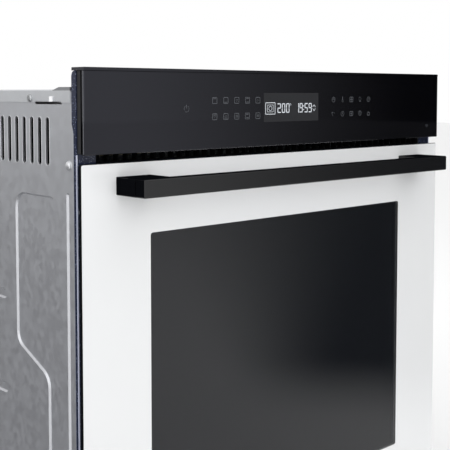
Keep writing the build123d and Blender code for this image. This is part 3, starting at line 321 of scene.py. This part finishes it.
def rim_tree():
    tree, entry = new_tree("vent_rims", Start="Vector", End="Vector", Count="Int", Width="Float", Height="Float",
                           Wire="Float")
    outline = put(tree, "GeometryNodeCurvePrimitiveQuadrilateral", {"Width": entry["Height"],
                                                                    "Height": entry["Width"]})
    half = put(tree, "ShaderNodeMath", {0: entry["Width"]}, {1: 0.49}, operation="MULTIPLY")
    rounded = put(tree, "GeometryNodeFilletCurve", {"Curve": outline.outputs["Curve"],
                                                    "Radius": half.outputs[0]}, {"Count": 8}, mode="POLY")
    wire = put(tree, "GeometryNodeCurvePrimitiveCircle", {"Radius": entry["Wire"]}, {"Resolution": 8})
    rim = put(tree, "GeometryNodeCurveToMesh", {"Curve": rounded.outputs["Curve"],
                                                "Profile Curve": wire.outputs["Curve"]})
    return repeat_on(tree, entry, points_between(tree, entry), rim.outputs["Mesh"],
                     values={"Rotation": FACING_SIDE})


def make_object(name, mesh_tool, materials):
    mesh = bpy.data.meshes.new(name)
    mesh_tool.to_mesh(mesh)
    mesh_tool.free()
    for material in materials:
        mesh.materials.append(material)
    piece = bpy.data.objects.new(name, mesh)
    bpy.context.collection.objects.link(piece)
    return piece


def side_box(name, side, x_limits, y_limits, z_limits, material):
    """Thin box on one side of the oven; the X limits are those of the right side."""
    tool = bmesh.new()
    bmesh.ops.create_cube(tool, size=1.0)
    limits = (sorted(side * x for x in x_limits), y_limits, z_limits)
    for vert in tool.verts:
        vert.co = [low + (part + 0.5) * (high - low) for part, (low, high) in zip(vert.co, limits)]
    return make_object(name, tool, [material])


def dome(name, centre, radius, height, material):
    tool = bmesh.new()
    bmesh.ops.create_uvsphere(tool, u_segments=24, v_segments=12, radius=1.0)
    for vert in tool.verts:
        vert.co = (centre[0] + vert.co.x * height, centre[1] + vert.co.y * radius, centre[2] + vert.co.z * radius)
    for facet in tool.faces:
        facet.smooth = True
    return make_object(name, tool, [material])


def ride_as(piece, body):
    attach(piece, body)


def with_shine(material, level):
    material.node_tree.nodes["Principled BSDF"].inputs["Specular IOR Level"].default_value = level
    return material


RIM_TREE = rim_tree()
# Lighter copy of the steel for the vent rims and domes: a painted highlight.
PAINTED_HIGHLIGHT_STEEL = galvanised_steel("vent_rim_painted_highlight", "#DCDDE0", "#E6E7E9")
# Near-black sheet with no reflection: painted shade behind the vent slots.
PAINTED_SHADE_BLACK = with_shine(new_material("black_sheet_painted_shade", "#020203", 0.0, 0.9)[0], 0.0)
# Plain white for the bent tab: a painted highlight.
PAINTED_HIGHLIGHT_TAB = new_material("white_tab_painted_highlight", "#F4F4F6", 0.0, 0.4)[0]
COVER_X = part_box("top_cover")[1][0]
for side, name in ((-1, "left"), (1, "right")):
    x, first_y = side * PANEL_X, FRONT_Y + VENT_FIRST
    last_y = first_y + VENT_PITCH * (VENT_COUNT - 1)
    rims = grow("vent_rims_" + name, RIM_TREE,
                {"Start": (x, first_y, VENT_Z), "End": (x, last_y, VENT_Z), "Count": VENT_COUNT,
                 "Width": RIM_WIDTH, "Height": RIM_HEIGHT, "Wire": RIM_WIRE, "Material": PAINTED_HIGHLIGHT_STEEL})
    ride_as(rims, "chassis")
    screen = side_box("painted_shade_sheet_" + name, side, (PANEL_X - SCREEN_DEPTH, PANEL_X - SCREEN_DEPTH + THIN),
                      (first_y - SCREEN_MARGIN, last_y + SCREEN_MARGIN),
                      (VENT_Z - SCREEN_HALF, VENT_Z + SCREEN_HALF), PAINTED_SHADE_BLACK)
    ride_as(screen, "chassis")
    tab = side_box("cover_tab_" + name, side, (COVER_X - THIN, COVER_X + THIN),
                   (FRONT_Y + TAB_FRONT, FRONT_Y + TAB_BACK), (CASE_HIGH[2] - TAB_LOW, CASE_HIGH[2] - TAB_HIGH),
                   PAINTED_HIGHLIGHT_TAB)
    ride_as(tab, "chassis")
    bump = dome("pressed_dome_" + name, (x + side * DOME_LIFT, FRONT_Y + DOME_Y, DOME_Z), DOME_RADIUS,
                DOME_HEIGHT, PAINTED_HIGHLIGHT_STEEL)
    ride_as(bump, "chassis")


# Front frame: pressed steel in vitreous enamel, dark navy with fine pale
# specks, fired to a deep gloss.
SPECK_PITCH = 0.0022


def speckled_enamel(name, base, speck, speck_size, roughness):
    material, tree, shader = new_material(name, base, 0.0, roughness)
    at = object_coords(tree).outputs["Vector"]
    dots = put(tree, "ShaderNodeTexVoronoi", {"Vector": at}, {"Scale": 1 / SPECK_PITCH})
    pick = put(tree, "ShaderNodeMath", {0: dots.outputs["Distance"]}, {1: speck_size}, operation="LESS_THAN")
    cloud = put(tree, "ShaderNodeTexNoise", {"Vector": at}, {"Scale": 400.0, "Detail": 2.0}).outputs["Fac"]
    amount = put(tree, "ShaderNodeMath", {0: pick.outputs[0], 1: cloud}, operation="MULTIPLY").outputs[0]
    tint(tree, shader, amount, base, speck)
    shader.inputs["Coat Weight"].default_value = 0.1
    shader.inputs["Specular IOR Level"].default_value = 0.3
    shader.inputs["Coat Roughness"].default_value = 0.08
    wave = put(tree, "ShaderNodeTexNoise", {"Vector": at}, {"Scale": 90.0}).outputs["Fac"]
    bump_from(tree, shader, wave, 0.0002, 0.2)
    return material


finish_nodes(speckled_enamel("navy_vitreous_enamel", "#161E36", "#98A0B4", 0.22, 0.26), "front_frame")

# Folded edge of the frame beside the door: a paler line along the bend from the control panel downwards, a painted
# highlight.
# Paler enamel strip on the bend: a painted highlight.
PAINTED_HIGHLIGHT_BEND = new_material("pale_bend_painted_highlight", "#C6CADC", 0.1, 0.35)[0]
FRAME_LOW, FRAME_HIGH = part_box("front_frame")
BEND_WIDTH, BEND_LIFT, BEND_DEPTH, BEND_FROM_BOTTOM = 0.0011, 0.0002, 0.0006, 0.001
for side, name in ((-1, "left"), (1, "right")):
    bend = side_box("frame_bend_" + name, side, (FRAME_HIGH[0] - BEND_WIDTH, FRAME_HIGH[0] + BEND_LIFT),
                    (FRAME_LOW[1] - BEND_LIFT, FRAME_LOW[1] + BEND_DEPTH),
                    (FRAME_LOW[2] + BEND_FROM_BOTTOM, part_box("control_glass")[0][2]), PAINTED_HIGHLIGHT_BEND)
    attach(bend, "chassis")


# Cavity liner, fan cover and tray: the same enamel in near black, as fired
# on oven interiors.
CAVITY_ENAMEL = speckled_enamel("cavity_vitreous_enamel", "#17191F", "#8F96A6", 0.16, 0.25)
finish_nodes(CAVITY_ENAMEL, "cavity_liner", "fan_cover", "baking_tray")


# Door glass: one toughened 4 mm sheet, printed white on its back all round
# and left as dark tinted glass in the middle; its cut edges look dark.
WINDOW_HALF, WINDOW_TOP, WINDOW_LOW = 0.2114, 0.4236, 0.088
WINDOW_CORNER = 0.003
CORNER_STEPS = 6
GLASS_CORNER, GLASS_BEVEL = 0.002, 0.0006


def rounded_loop(half_x, low, high, radius):
    """Corner points of a rounded rectangle in X and Z, anticlockwise seen from the front."""
    points = []
    for cx, cz, start in ((half_x - radius, low + radius, -90), (half_x - radius, high - radius, 0),
                          (-half_x + radius, high - radius, 90), (-half_x + radius, low + radius, 180)):
        for step in range(CORNER_STEPS + 1):
            angle = math.radians(start + 90 * step / CORNER_STEPS)
            points.append((cx + radius * math.cos(angle), cz + radius * math.sin(angle)))
    return points


def white_back_painted_glass():
    material, tree, shader = new_material("white_back_painted_glass", "#DBDCDD", 0.0, 0.05)
    at = object_coords(tree).outputs["Vector"]
    cloud = put(tree, "ShaderNodeTexNoise", {"Vector": at}, {"Scale": 6.0, "Detail": 2.0}).outputs["Fac"]
    tint(tree, shader, cloud, "#D9DADC", "#DDDEDE")
    tree.links.new(vary(tree, cloud, 0.03, 0.07), shader.inputs["Roughness"])
    shader.inputs["IOR"].default_value = 1.5
    return material


def tinted_glass(name, colour, cover):
    """Clear or tinted pane: cover is the share of light that it holds back."""
    material, tree, shader = new_material(name, colour, 0.0, 0.02)
    at = object_coords(tree).outputs["Vector"]
    haze = put(tree, "ShaderNodeTexNoise", {"Vector": at}, {"Scale": 5.0, "Detail": 2.0}).outputs["Fac"]
    tree.links.new(vary(tree, haze, 0.01, 0.035), shader.inputs["Roughness"])
    shader.inputs["Alpha"].default_value = cover
    shader.inputs["IOR"].default_value = 1.5
    return material


def glass_edge():
    material, tree, shader = new_material("cut_glass_edge", "#050608", 0.0, 0.30)
    shader.inputs["Specular IOR Level"].default_value = 0.05
    at = object_coords(tree).outputs["Vector"]
    grind = put(tree, "ShaderNodeTexNoise", {"Vector": at}, {"Scale": 700.0}).outputs["Fac"]
    bump_from(tree, shader, grind, 0.00005, 0.3)
    return material


def door_front_glass():
    low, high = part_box("door_outer_glass")
    half, front, back, bevel = high[0], low[1], high[1], GLASS_BEVEL
    tool = bmesh.new()

    def ring(points, y):
        return [tool.verts.new((x, y, z)) for x, z in points]

    outline = rounded_loop(half, low[2], high[2], GLASS_CORNER)
    inset = rounded_loop(half - bevel, low[2] + bevel, high[2] - bevel, GLASS_CORNER)
    window = rounded_loop(WINDOW_HALF, WINDOW_LOW, WINDOW_TOP, WINDOW_CORNER)
    front_outer, edge_front = ring(inset, front), ring(outline, front + bevel)
    edge_back, back_outer = ring(outline, back - bevel), ring(inset, back)
    front_window, back_window = ring(window, front), ring(window, back)

    def band(first, second, slot):
        for i in range(len(first)):
            j = (i + 1) % len(first)
            tool.faces.new((first[i], first[j], second[j], second[i])).material_index = slot

    band(front_outer, front_window, 0)
    band(edge_front, front_outer, 2)
    band(edge_back, edge_front, 2)
    band(back_outer, edge_back, 2)
    band(back_window, back_outer, 0)
    tool.faces.new(front_window).material_index = 1
    tool.faces.new(list(reversed(back_window))).material_index = 1
    bmesh.ops.recalc_face_normals(tool, faces=tool.faces)
    return make_object("door_front_glass", tool, [white_back_painted_glass(),
                       tinted_glass("tinted_window_glass", "#15171B", 0.72), glass_edge()])


door_glass = door_front_glass()
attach(door_glass, "door")
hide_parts("door_outer_glass")


# Middle and inner panes: clear float glass with a heat-reflecting coat that
# darkens it a little.
finish_nodes(tinted_glass("low_e_float_glass", "#20262A", 0.22), "door_middle_glass", "door_inner_glass")


# Print round the inner pane: a black ceramic border that hides the glue,
# fading inwards in rows of dots.
DOT_PITCH, DOT_ROWS, DOT_RADIUS = 0.0034, 4, 0.0009
DOT_EDGE, DOT_SHORT_OF_END, DOT_SHORT_OF_SIDE = 0.002, 0.006, 0.04
FACING_FRONT = (math.pi / 2, 0, 0)


def black_ceramic_print():
    material, tree, shader = new_material("black_ceramic_print", "#0B0B0D", 0.0, 0.3)
    at = object_coords(tree).outputs["Vector"]
    cloud = put(tree, "ShaderNodeTexNoise", {"Vector": at}, {"Scale": 900.0}).outputs["Fac"]
    tree.links.new(vary(tree, cloud, 0.22, 0.40), shader.inputs["Roughness"])
    return material


def dot_tree():
    tree, entry = new_tree("print_dots", Centre="Vector", Width="Float", Height="Float", Across="Int", Up="Int",
                           Radius="Float")
    grid = put(tree, "GeometryNodeMeshGrid", {"Size X": entry["Width"], "Size Y": entry["Height"],
                                              "Vertices X": entry["Across"], "Vertices Y": entry["Up"]})
    upright = put(tree, "GeometryNodeTransform", {"Geometry": grid.outputs["Mesh"],
                                                  "Translation": entry["Centre"]}, {"Rotation": FACING_FRONT})
    dot = put(tree, "GeometryNodeMeshCylinder", {"Radius": entry["Radius"]}, {"Vertices": 8, "Depth": 0.0001})
    return repeat_on(tree, entry, upright.outputs["Geometry"], dot.outputs["Mesh"],
                     values={"Rotation": FACING_FRONT})


PANE_LOW, PANE_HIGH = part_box("door_inner_glass")
PRINT_Y = PANE_LOW[1] - 0.0002
BLACK_PRINT = black_ceramic_print()
DOTS = dot_tree()
INNER_HALF, INNER_LOW, INNER_HIGH = 0.226, 0.080, 0.432


def print_dots(name, centre, width, height):
    across, up = max(2, round(width / DOT_PITCH)), max(2, round(height / DOT_PITCH))
    dots = grow(name, DOTS, {"Centre": centre, "Width": width, "Height": height, "Across": across, "Up": up,
                             "Radius": DOT_RADIUS, "Material": BLACK_PRINT})
    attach(dots, "door")


DOT_BAND = DOT_PITCH * (DOT_ROWS - 1)
DOT_REACH = DOT_BAND / 2 + DOT_EDGE
for side, name in ((-1, "left"), (1, "right")):
    print_dots("print_dots_" + name, (side * (INNER_HALF - DOT_REACH), PRINT_Y, (INNER_LOW + INNER_HIGH) / 2),
               DOT_BAND, INNER_HIGH - INNER_LOW - DOT_SHORT_OF_END)
for z, name in ((INNER_LOW + DOT_REACH, "low"), (INNER_HIGH - DOT_REACH, "high")):
    print_dots("print_dots_" + name, (0, PRINT_Y, z), 2 * INNER_HALF - DOT_SHORT_OF_SIDE, DOT_BAND)


def print_border():
    """Flat printed frame just in front of the inner pane, with a small thickness."""
    tool = bmesh.new()
    outer = rounded_loop(PANE_HIGH[0] - 0.003, PANE_LOW[2] + 0.003, PANE_HIGH[2] - 0.003, 0.004)
    inner = rounded_loop(INNER_HALF, INNER_LOW, INNER_HIGH, 0.012)
    rings = []
    for y in (PRINT_Y, PRINT_Y + 0.00015):
        rings.append([[tool.verts.new((x, y, z)) for x, z in loop] for loop in (outer, inner)])
    (front_out, front_in), (back_out, back_in) = rings
    for first, second in ((front_out, front_in), (back_in, back_out), (back_out, front_out), (front_in, back_in)):
        for i in range(len(first)):
            j = (i + 1) % len(first)
            tool.faces.new((first[i], first[j], second[j], second[i]))
    bmesh.ops.recalc_face_normals(tool, faces=tool.faces)
    border = make_object("inner_pane_print", tool, [BLACK_PRINT])
    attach(border, "door")


print_border()


# Control panel: black back-painted glass with printed grey symbols, and a
# lit window whose digits shine through.
PANEL_LOW, PANEL_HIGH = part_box("control_glass")
PRINT_LIFT, INK_DEPTH = 0.00012, 0.00005


def black_back_painted_glass():
    material, tree, shader = new_material("black_back_painted_glass", "#040406", 0.0, 0.03)
    shader.inputs["Specular Tint"].default_value = linear("#E4E6F8")
    at = object_coords(tree).outputs["Vector"]
    haze = put(tree, "ShaderNodeTexNoise", {"Vector": at}, {"Scale": 6.0, "Detail": 2.0}).outputs["Fac"]
    tree.links.new(vary(tree, haze, 0.02, 0.05), shader.inputs["Roughness"])
    shader.inputs["IOR"].default_value = 1.5
    return material


finish_nodes(black_back_painted_glass(), "control_glass", "panel_top_trim")

# Ends of the control panel: pale lines on the glass end and on the corner of the housing, with a black strip
# between them. The glass line is its ground arris with a painted highlight, the housing line a painted highlight,
# and the black strip painted shade in the groove.
# Pale grey: ground arris and painted highlight on the glass end, painted highlight on the housing corner.
ARRIS_AND_PAINTED_HIGHLIGHT = new_material("pale_arris_and_painted_highlight", "#505156", 0.0, 0.5)[0]
# Black with no reflection: painted shade in the groove.
PAINTED_SHADE_GROOVE = with_shine(new_material("black_groove_painted_shade", "#010102", 0.0, 0.95)[0], 0.0)
SKIN_X = (PANEL_HIGH[0] - 0.0004, PANEL_HIGH[0] + 0.0001)
SHELL_X = (PANEL_HIGH[0] - 0.0014, PANEL_HIGH[0] - 0.0009)
END_Z = (PANEL_LOW[2] + 0.0012, PANEL_HIGH[2] - 0.0004)
for side, name in ((-1, "left"), (1, "right")):
    for label, limits, front, back, material in (("arris", SKIN_X, 0.0008, 0.0024, ARRIS_AND_PAINTED_HIGHLIGHT),
                                                 ("groove_shade", SKIN_X, 0.0040, 0.0060, PAINTED_SHADE_GROOVE),
                                                 ("corner", SHELL_X, 0.0061, 0.0068, ARRIS_AND_PAINTED_HIGHLIGHT)):
        strip = side_box(f"panel_{label}_{name}", side, limits, (PANEL_LOW[1] + front, PANEL_LOW[1] + back),
                         END_Z, material)
        ride_as(strip, "chassis")


def glowing_print(name, colour, glow):
    material, tree, shader = new_material(name, colour, 0.0, 0.5)
    at = object_coords(tree).outputs["Vector"]
    cloud = put(tree, "ShaderNodeTexNoise", {"Vector": at}, {"Scale": 300.0}).outputs["Fac"]
    tree.links.new(vary(tree, cloud, 0.45, 0.6), shader.inputs["Roughness"])
    shader.inputs["Emission Color"].default_value = linear(colour)
    shader.inputs["Emission Strength"].default_value = glow
    return material


LIT_DIGITS = glowing_print("lit_display_print", "#C9CDD2", 0.25)
# The grey symbols are print, not lit; their faint glow is painted light.
GREY_PRINT_PAINTED_GLOW = glowing_print("grey_symbol_print_painted_glow", "#5E6166", 0.02)
DISPLAY_BACK = glowing_print("display_backlight", "#16171B", 0.05)


class Sketch:
    """Strokes printed on the panel glass, each a thin closed strip."""

    def __init__(self):
        self.tool = bmesh.new()
        self.y = PANEL_LOW[1] - PRINT_LIFT

    def stroke(self, x0, z0, x1, z1, width):
        along = Vector((x1 - x0, 0, z1 - z0)).normalized()
        across = Vector((-along.z, 0, along.x)) * width / 2
        end = along * width / 2
        a, b = Vector((x0, self.y, z0)) - end, Vector((x1, self.y, z1)) + end
        depth = Vector((0, INK_DEPTH, 0))
        front = [self.tool.verts.new(c) for c in (a - across, b - across, b + across, a + across)]
        back = [self.tool.verts.new(vert.co + depth) for vert in front]
        self.tool.faces.new(front)
        self.tool.faces.new(back[::-1])
        for i in range(4):
            j = (i + 1) % 4
            self.tool.faces.new((front[j], front[i], back[i], back[j]))

    def path(self, points, width, close=False):
        stops = points[1:] + points[:1] if close else points[1:]
        for (x0, z0), (x1, z1) in zip(points, stops):
            self.stroke(x0, z0, x1, z1, width)

    def arc(self, x, z, radius, start, end, width, steps=16):
        turn = [math.radians(start + (end - start) * i / steps) for i in range(steps + 1)]
        self.path([(x + radius * math.cos(t), z + radius * math.sin(t)) for t in turn], width)

    def box(self, x, z, half_x, half_z, width):
        self.path([(x - half_x, z - half_z), (x + half_x, z - half_z), (x + half_x, z + half_z),
                   (x - half_x, z + half_z)], width, close=True)

    def done(self, name, material):
        bmesh.ops.recalc_face_normals(self.tool, faces=self.tool.faces)
        piece = make_object(name, self.tool, [material])
        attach(piece, "chassis")
        return piece


# Segments of a digit: a top, b and c right, d bottom, e and f left, g middle.
DIGIT_BARS = {"0": "abcdef", "1": "bc", "2": "abged", "5": "afgcd", "9": "abcdfg"}


def digit(sketch, char, x, z, height, width):
    w, h = width / 2, height / 2
    bars = {"a": (-w, h, w, h), "b": (w, h, w, 0), "c": (w, 0, w, -h), "d": (-w, -h, w, -h),
            "e": (-w, -h, -w, 0), "f": (-w, 0, -w, h), "g": (-w, 0, w, 0)}
    for bar in DIGIT_BARS[char]:
        x0, z0, x1, z1 = bars[bar]
        sketch.stroke(x + x0, z + z0, x + x1, z + z1, 0.0011)


DISPLAY_LOW, DISPLAY_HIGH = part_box("display_module")
DISPLAY_X = (DISPLAY_LOW[0] + DISPLAY_HIGH[0]) / 2
DISPLAY_Z = (DISPLAY_LOW[2] + DISPLAY_HIGH[2]) / 2 - 0.001


def lit_display():
    numbers = Sketch()
    for i, char in enumerate("200"):
        digit(numbers, char, DISPLAY_X - 0.0215 + 0.0073 * i, DISPLAY_Z, 0.0100, 0.0044)
    numbers.arc(DISPLAY_X - 0.0024, DISPLAY_Z + 0.0042, 0.0009, 0, 360, 0.0005, 10)
    for i, (char, shift) in enumerate(zip("1959", (0.0, 0.0064, 0.0152, 0.0224))):
        digit(numbers, char, DISPLAY_X + 0.0098 + shift, DISPLAY_Z, 0.0100, 0.0042)
    for lift in (-0.0022, 0.0022):
        numbers.stroke(DISPLAY_X + 0.0204, DISPLAY_Z + lift, DISPLAY_X + 0.0206, DISPLAY_Z + lift, 0.0012)
    x, z = DISPLAY_X - 0.0362, DISPLAY_Z - 0.0002
    numbers.box(x, z, 0.0078, 0.0066, 0.0007)
    numbers.arc(x, z, 0.0026, 0, 360, 0.0006)
    numbers.box(x, z, 0.0048, 0.0040, 0.0004)
    numbers.path([(DISPLAY_X + 0.0370, DISPLAY_Z + 0.0010), (DISPLAY_X + 0.0392, DISPLAY_Z + 0.0034),
                  (DISPLAY_X + 0.0414, DISPLAY_Z + 0.0010)], 0.0006)
    numbers.path([(DISPLAY_X + 0.0370, DISPLAY_Z - 0.0014), (DISPLAY_X + 0.0392, DISPLAY_Z - 0.0038),
                  (DISPLAY_X + 0.0414, DISPLAY_Z - 0.0014)], 0.0006)
    numbers.done("display_digits", LIT_DIGITS)
    glow = Sketch()
    glow.y += PRINT_LIFT / 2
    half_x = (DISPLAY_HIGH[0] - DISPLAY_LOW[0]) / 2
    glow.stroke(DISPLAY_LOW[0] + 0.016, DISPLAY_Z + 0.001, DISPLAY_HIGH[0] - 0.016, DISPLAY_Z + 0.001,
                (DISPLAY_HIGH[2] - DISPLAY_LOW[2]))
    glow.done("display_backlight", DISPLAY_BACK)


def mode_symbol(sketch, x, z, kind):
    """Heating-mode and function symbols: a small square with one or two inner marks."""
    line, half = 0.00045, 0.0033
    if kind < 10:
        sketch.box(x, z, half, half, line)
    if kind in (0, 3, 5, 8):
        sketch.stroke(x - 0.0019, z + 0.0019, x + 0.0019, z + 0.0019, line)
    if kind in (1, 3, 6, 8):
        sketch.stroke(x - 0.0019, z - 0.0019, x + 0.0019, z - 0.0019, line)
    if kind in (2, 4, 5, 6):
        sketch.arc(x, z, 0.0012, 0, 360, line, 10)
    if kind in (7, 9):
        for shift in (-0.0012, 0.0, 0.0012):
            sketch.stroke(x + shift, z - 0.0014, x + shift, z + 0.0014, line * 0.8)
    if kind in (10, 14, 16):
        sketch.arc(x, z, 0.0030, 0, 360, line)
    if kind == 10:
        sketch.path([(x - 0.0016, z), (x, z + 0.0012), (x + 0.0016, z)], line)
    if kind in (11, 18):
        sketch.stroke(x, z - 0.0004, x, z + 0.0032, line * 1.4)
        sketch.arc(x, z - 0.0018, 0.0013, 0, 360, line, 10)
    if kind == 12:
        sketch.box(x, z, 0.0030, 0.0030, line)
        sketch.path([(x - 0.003, z), (x + 0.003, z)], line)
        sketch.path([(x, z - 0.003), (x, z + 0.003)], line)
    if kind == 13:
        sketch.arc(x, z + 0.0008, 0.0021, -40, 220, line)
        sketch.box(x, z - 0.0022, 0.0010, 0.0007, line)
    if kind == 14:
        sketch.arc(x, z, 0.0012, 0, 300, line, 10)
    if kind == 15:
        sketch.arc(x, z - 0.0004, 0.0024, 20, 250, line)
        sketch.path([(x - 0.0034, z + 0.0010), (x - 0.0022, z + 0.0026), (x - 0.0012, z + 0.0010)], line)
    if kind == 16:
        sketch.path([(x, z + 0.0018), (x, z), (x + 0.0013, z - 0.0008)], line)
    if kind == 17:
        sketch.box(x, z, 0.0030, 0.0026, line)
        sketch.path([(x - 0.0013, z), (x + 0.0013, z)], line)
        sketch.path([(x, z - 0.0013), (x, z + 0.0013)], line)
    if kind == 18:
        sketch.arc(x, z + 0.0002, 0.0030, 120, 420, line)
    if kind == 19:
        sketch.box(x, z - 0.0009, 0.0022, 0.0018, line)
        sketch.arc(x, z + 0.0010, 0.0014, 0, 180, line, 10)


SYMBOL_UPPER, SYMBOL_LOWER = OVEN_TOP - 0.0339, OVEN_TOP - 0.0517
LEFT_FIRST, RIGHT_FIRST, SYMBOL_PITCH = -0.1243, 0.0738, 0.0166


def panel_symbols():
    symbols = Sketch()
    power_x, power_z = -0.1647, OVEN_TOP - 0.0426
    symbols.arc(power_x, power_z, 0.0034, 125, 415, 0.0005)
    symbols.stroke(power_x, power_z + 0.0008, power_x, power_z + 0.0040, 0.0005)
    for column in range(5):
        for row, z in enumerate((SYMBOL_UPPER, SYMBOL_LOWER)):
            mode_symbol(symbols, LEFT_FIRST + SYMBOL_PITCH * column, z, column + 5 * row)
            mode_symbol(symbols, RIGHT_FIRST + 1.03 * SYMBOL_PITCH * column, z, 10 + column + 5 * row)
    wave_x, wave_z = 0.2700, OVEN_TOP - 0.0735
    for radius in (0.0012, 0.0026, 0.0040):
        symbols.arc(wave_x, wave_z, radius, 45, 135, 0.0006, 8)
    symbols.done("panel_symbols", GREY_PRINT_PAINTED_GLOW)


lit_display()
panel_symbols()


# Handle: square bar and end blocks of extruded aluminium, black anodised
# with a satin grain along the bar.
def beyond(tree, source, limit):
    return put(tree, "ShaderNodeMath", {0: source}, {1: limit}, operation="GREATER_THAN").outputs[0]


def black_anodised_aluminium():
    """Satin along the bar; the sawn ends and the upper face lose their reflection: duller sawn ends, and painted
    shade on the upper face.
    """
    material, tree, shader = new_material("black_anodised_aluminium", "#141519", 0.0, 0.20)
    at = object_coords(tree, (6, 900, 900)).outputs["Vector"]
    grain = put(tree, "ShaderNodeTexNoise", {"Vector": at}, {"Scale": 1.0, "Detail": 3.0}).outputs["Fac"]
    tint(tree, shader, grain, "#08090B", "#0B0C0F")
    tree.links.new(vary(tree, grain, 0.17, 0.24), shader.inputs["Roughness"])
    bump_from(tree, shader, grain, 0.00002, 0.2)
    bar_low, bar_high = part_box("handle_bar")
    where = put(tree, "ShaderNodeTexCoord").outputs["Object"]
    axes = put(tree, "ShaderNodeSeparateXYZ", {"Vector": where}).outputs
    reach = put(tree, "ShaderNodeMath", {0: axes["X"]}, operation="ABSOLUTE").outputs[0]
    # No reflection on the sawn ends and the upper face; on the upper face this is painted shade.
    dull_ends_and_painted_shade_top = put(tree, "ShaderNodeMath", {0: beyond(tree, reach, bar_high[0] - 0.0002),
                                        1: beyond(tree, axes["Z"], bar_high[2] - 0.0002)}, operation="MAXIMUM")
    tree.links.new(vary(tree, dull_ends_and_painted_shade_top.outputs[0], 1.5, 1.0), shader.inputs["IOR"])
    return material


finish_nodes(black_anodised_aluminium(), "handle_bar", "handle_post_left", "handle_post_right")


# Housing, caps, grille and terminal box: black moulded plastic and satin-painted steel with a fine texture.
def fine_textured_black(name, colour, roughness, texture, height):
    material, tree, shader = new_material(name, colour, 0.0, roughness)
    at = object_coords(tree).outputs["Vector"]
    leather = put(tree, "ShaderNodeTexNoise", {"Vector": at}, {"Scale": 1 / texture, "Detail": 2.0}).outputs["Fac"]
    tree.links.new(vary(tree, leather, roughness - 0.08, roughness + 0.08), shader.inputs["Roughness"])
    bump_from(tree, shader, leather, height, 0.5)
    return material


finish_nodes(fine_textured_black("black_moulded_pbt", "#17181A", 0.55, 0.0009, 0.00006), "control_housing",
             "door_top_cap", "door_bottom_cap", "terminal_box", "cord_inlet", "display_module")
# The outlet grille is black plastic made darker still, with its reflection cut low: painted shade in the gap under
# the panel.
finish_nodes(with_shine(fine_textured_black("black_pbt_painted_shade", "#030304", 0.85, 0.0009, 0.00004), 0.1),
             "air_outlet_grille")
finish_nodes(fine_textured_black("black_silicone_rubber", "#131416", 0.70, 0.0015, 0.00005), "door_gasket")
finish_nodes(fine_textured_black("grey_silicone_rubber", "#9B9DA0", 0.65, 0.0012, 0.00005), "door_bumpers")


# Racks and shelf: steel wire in bright chrome plate.
def bright_metal(name, colour, roughness, grain_size, dark):
    material, tree, shader = new_material(name, colour, 1.0, roughness)
    at = object_coords(tree).outputs["Vector"]
    film = put(tree, "ShaderNodeTexNoise", {"Vector": at}, {"Scale": 1 / grain_size, "Detail": 3.0}).outputs["Fac"]
    tint(tree, shader, film, dark, colour)
    tree.links.new(vary(tree, film, roughness * 0.7, roughness * 1.5), shader.inputs["Roughness"])
    return material


finish_nodes(bright_metal("chrome_plated_wire", "#E2E3E5", 0.10, 0.02, "#CFD0D3"), "side_rack_left",
             "side_rack_right", "wire_shelf")
finish_nodes(bright_metal("zinc_plated_steel", "#C9CBCC", 0.28, 0.004, "#AEB0B2"), "casing_screws",
             "handle_screws", "hinge_arm_left", "hinge_arm_right", "hinge_rod_left", "hinge_rod_right")
finish_nodes(bright_metal("oxidised_heater_steel", "#5B564F", 0.45, 0.006, "#3B3733"), "grill_element",
             "bottom_element", "ring_element", "temperature_sensor", "convection_fan")
finish_nodes(bright_metal("mill_aluminium", "#D3D4D6", 0.35, 0.003, "#BBBDBF"), "cooling_fan")
finish_nodes(bright_metal("lacquered_motor_steel", "#8A8C8F", 0.40, 0.002, "#6C6E71"), "blower_motor",
             "convection_motor")


# Lamp: clear borosilicate lens and bulb.
finish_nodes(tinted_glass("borosilicate_glass", "#D8DEDC", 0.35), "lamp_lens", "lamp_bulb")


# Insulation: a jacket of pale glass wool, its fibres lying in soft drifts.
def glass_wool():
    material, tree, shader = new_material("glass_wool", "#D9CC9C", 0.0, 0.95)
    at = object_coords(tree, (1, 1, 2.5)).outputs["Vector"]
    fibre = put(tree, "ShaderNodeTexNoise", {"Vector": at}, {"Scale": 120.0, "Detail": 6.0, "Distortion": 1.5})
    tint(tree, shader, fibre.outputs["Fac"], "#B9A974", "#EBE2BE")
    bump_from(tree, shader, fibre.outputs["Fac"], 0.002, 0.8)
    shader.inputs["Sheen Weight"].default_value = 0.3
    return material


finish_nodes(glass_wool(), "insulation")


# Boards: green solder resist over copper, with darker parts standing on it.
def green_circuit_board():
    material, tree, shader = new_material("green_circuit_board", "#1B5A38", 0.0, 0.35)
    at = object_coords(tree).outputs["Vector"]
    tracks = put(tree, "ShaderNodeTexBrick", {"Vector": at}, {"Scale": 90.0, "Mortar Size": 0.03})
    tint(tree, shader, tracks.outputs["Fac"], "#1B5A38", "#3F8A5B")
    return material


finish_nodes(green_circuit_board(), "control_board", "power_board")


# Hinge springs: oil-tempered wire coils that shorten as the door comes down. Each is a copy of its solid that
# rides with the door.
SPRING_WIRE = bright_metal("oil_tempered_spring_wire", "#7B7D80", 0.30, 0.003, "#5C5E61")
for side in ("left", "right"):
    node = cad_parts["hinge_spring_" + side]
    tool = bmesh.new()
    tool.from_mesh(node.data)
    bmesh.ops.remove_doubles(tool, verts=tool.verts, dist=0.000002)
    for facet in tool.faces:
        facet.material_index = 0
    coil = make_object("coil_spring_" + side, tool, [SPRING_WIRE])
    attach(coil, "door")
    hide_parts("hinge_spring_" + side)
    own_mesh(coil)
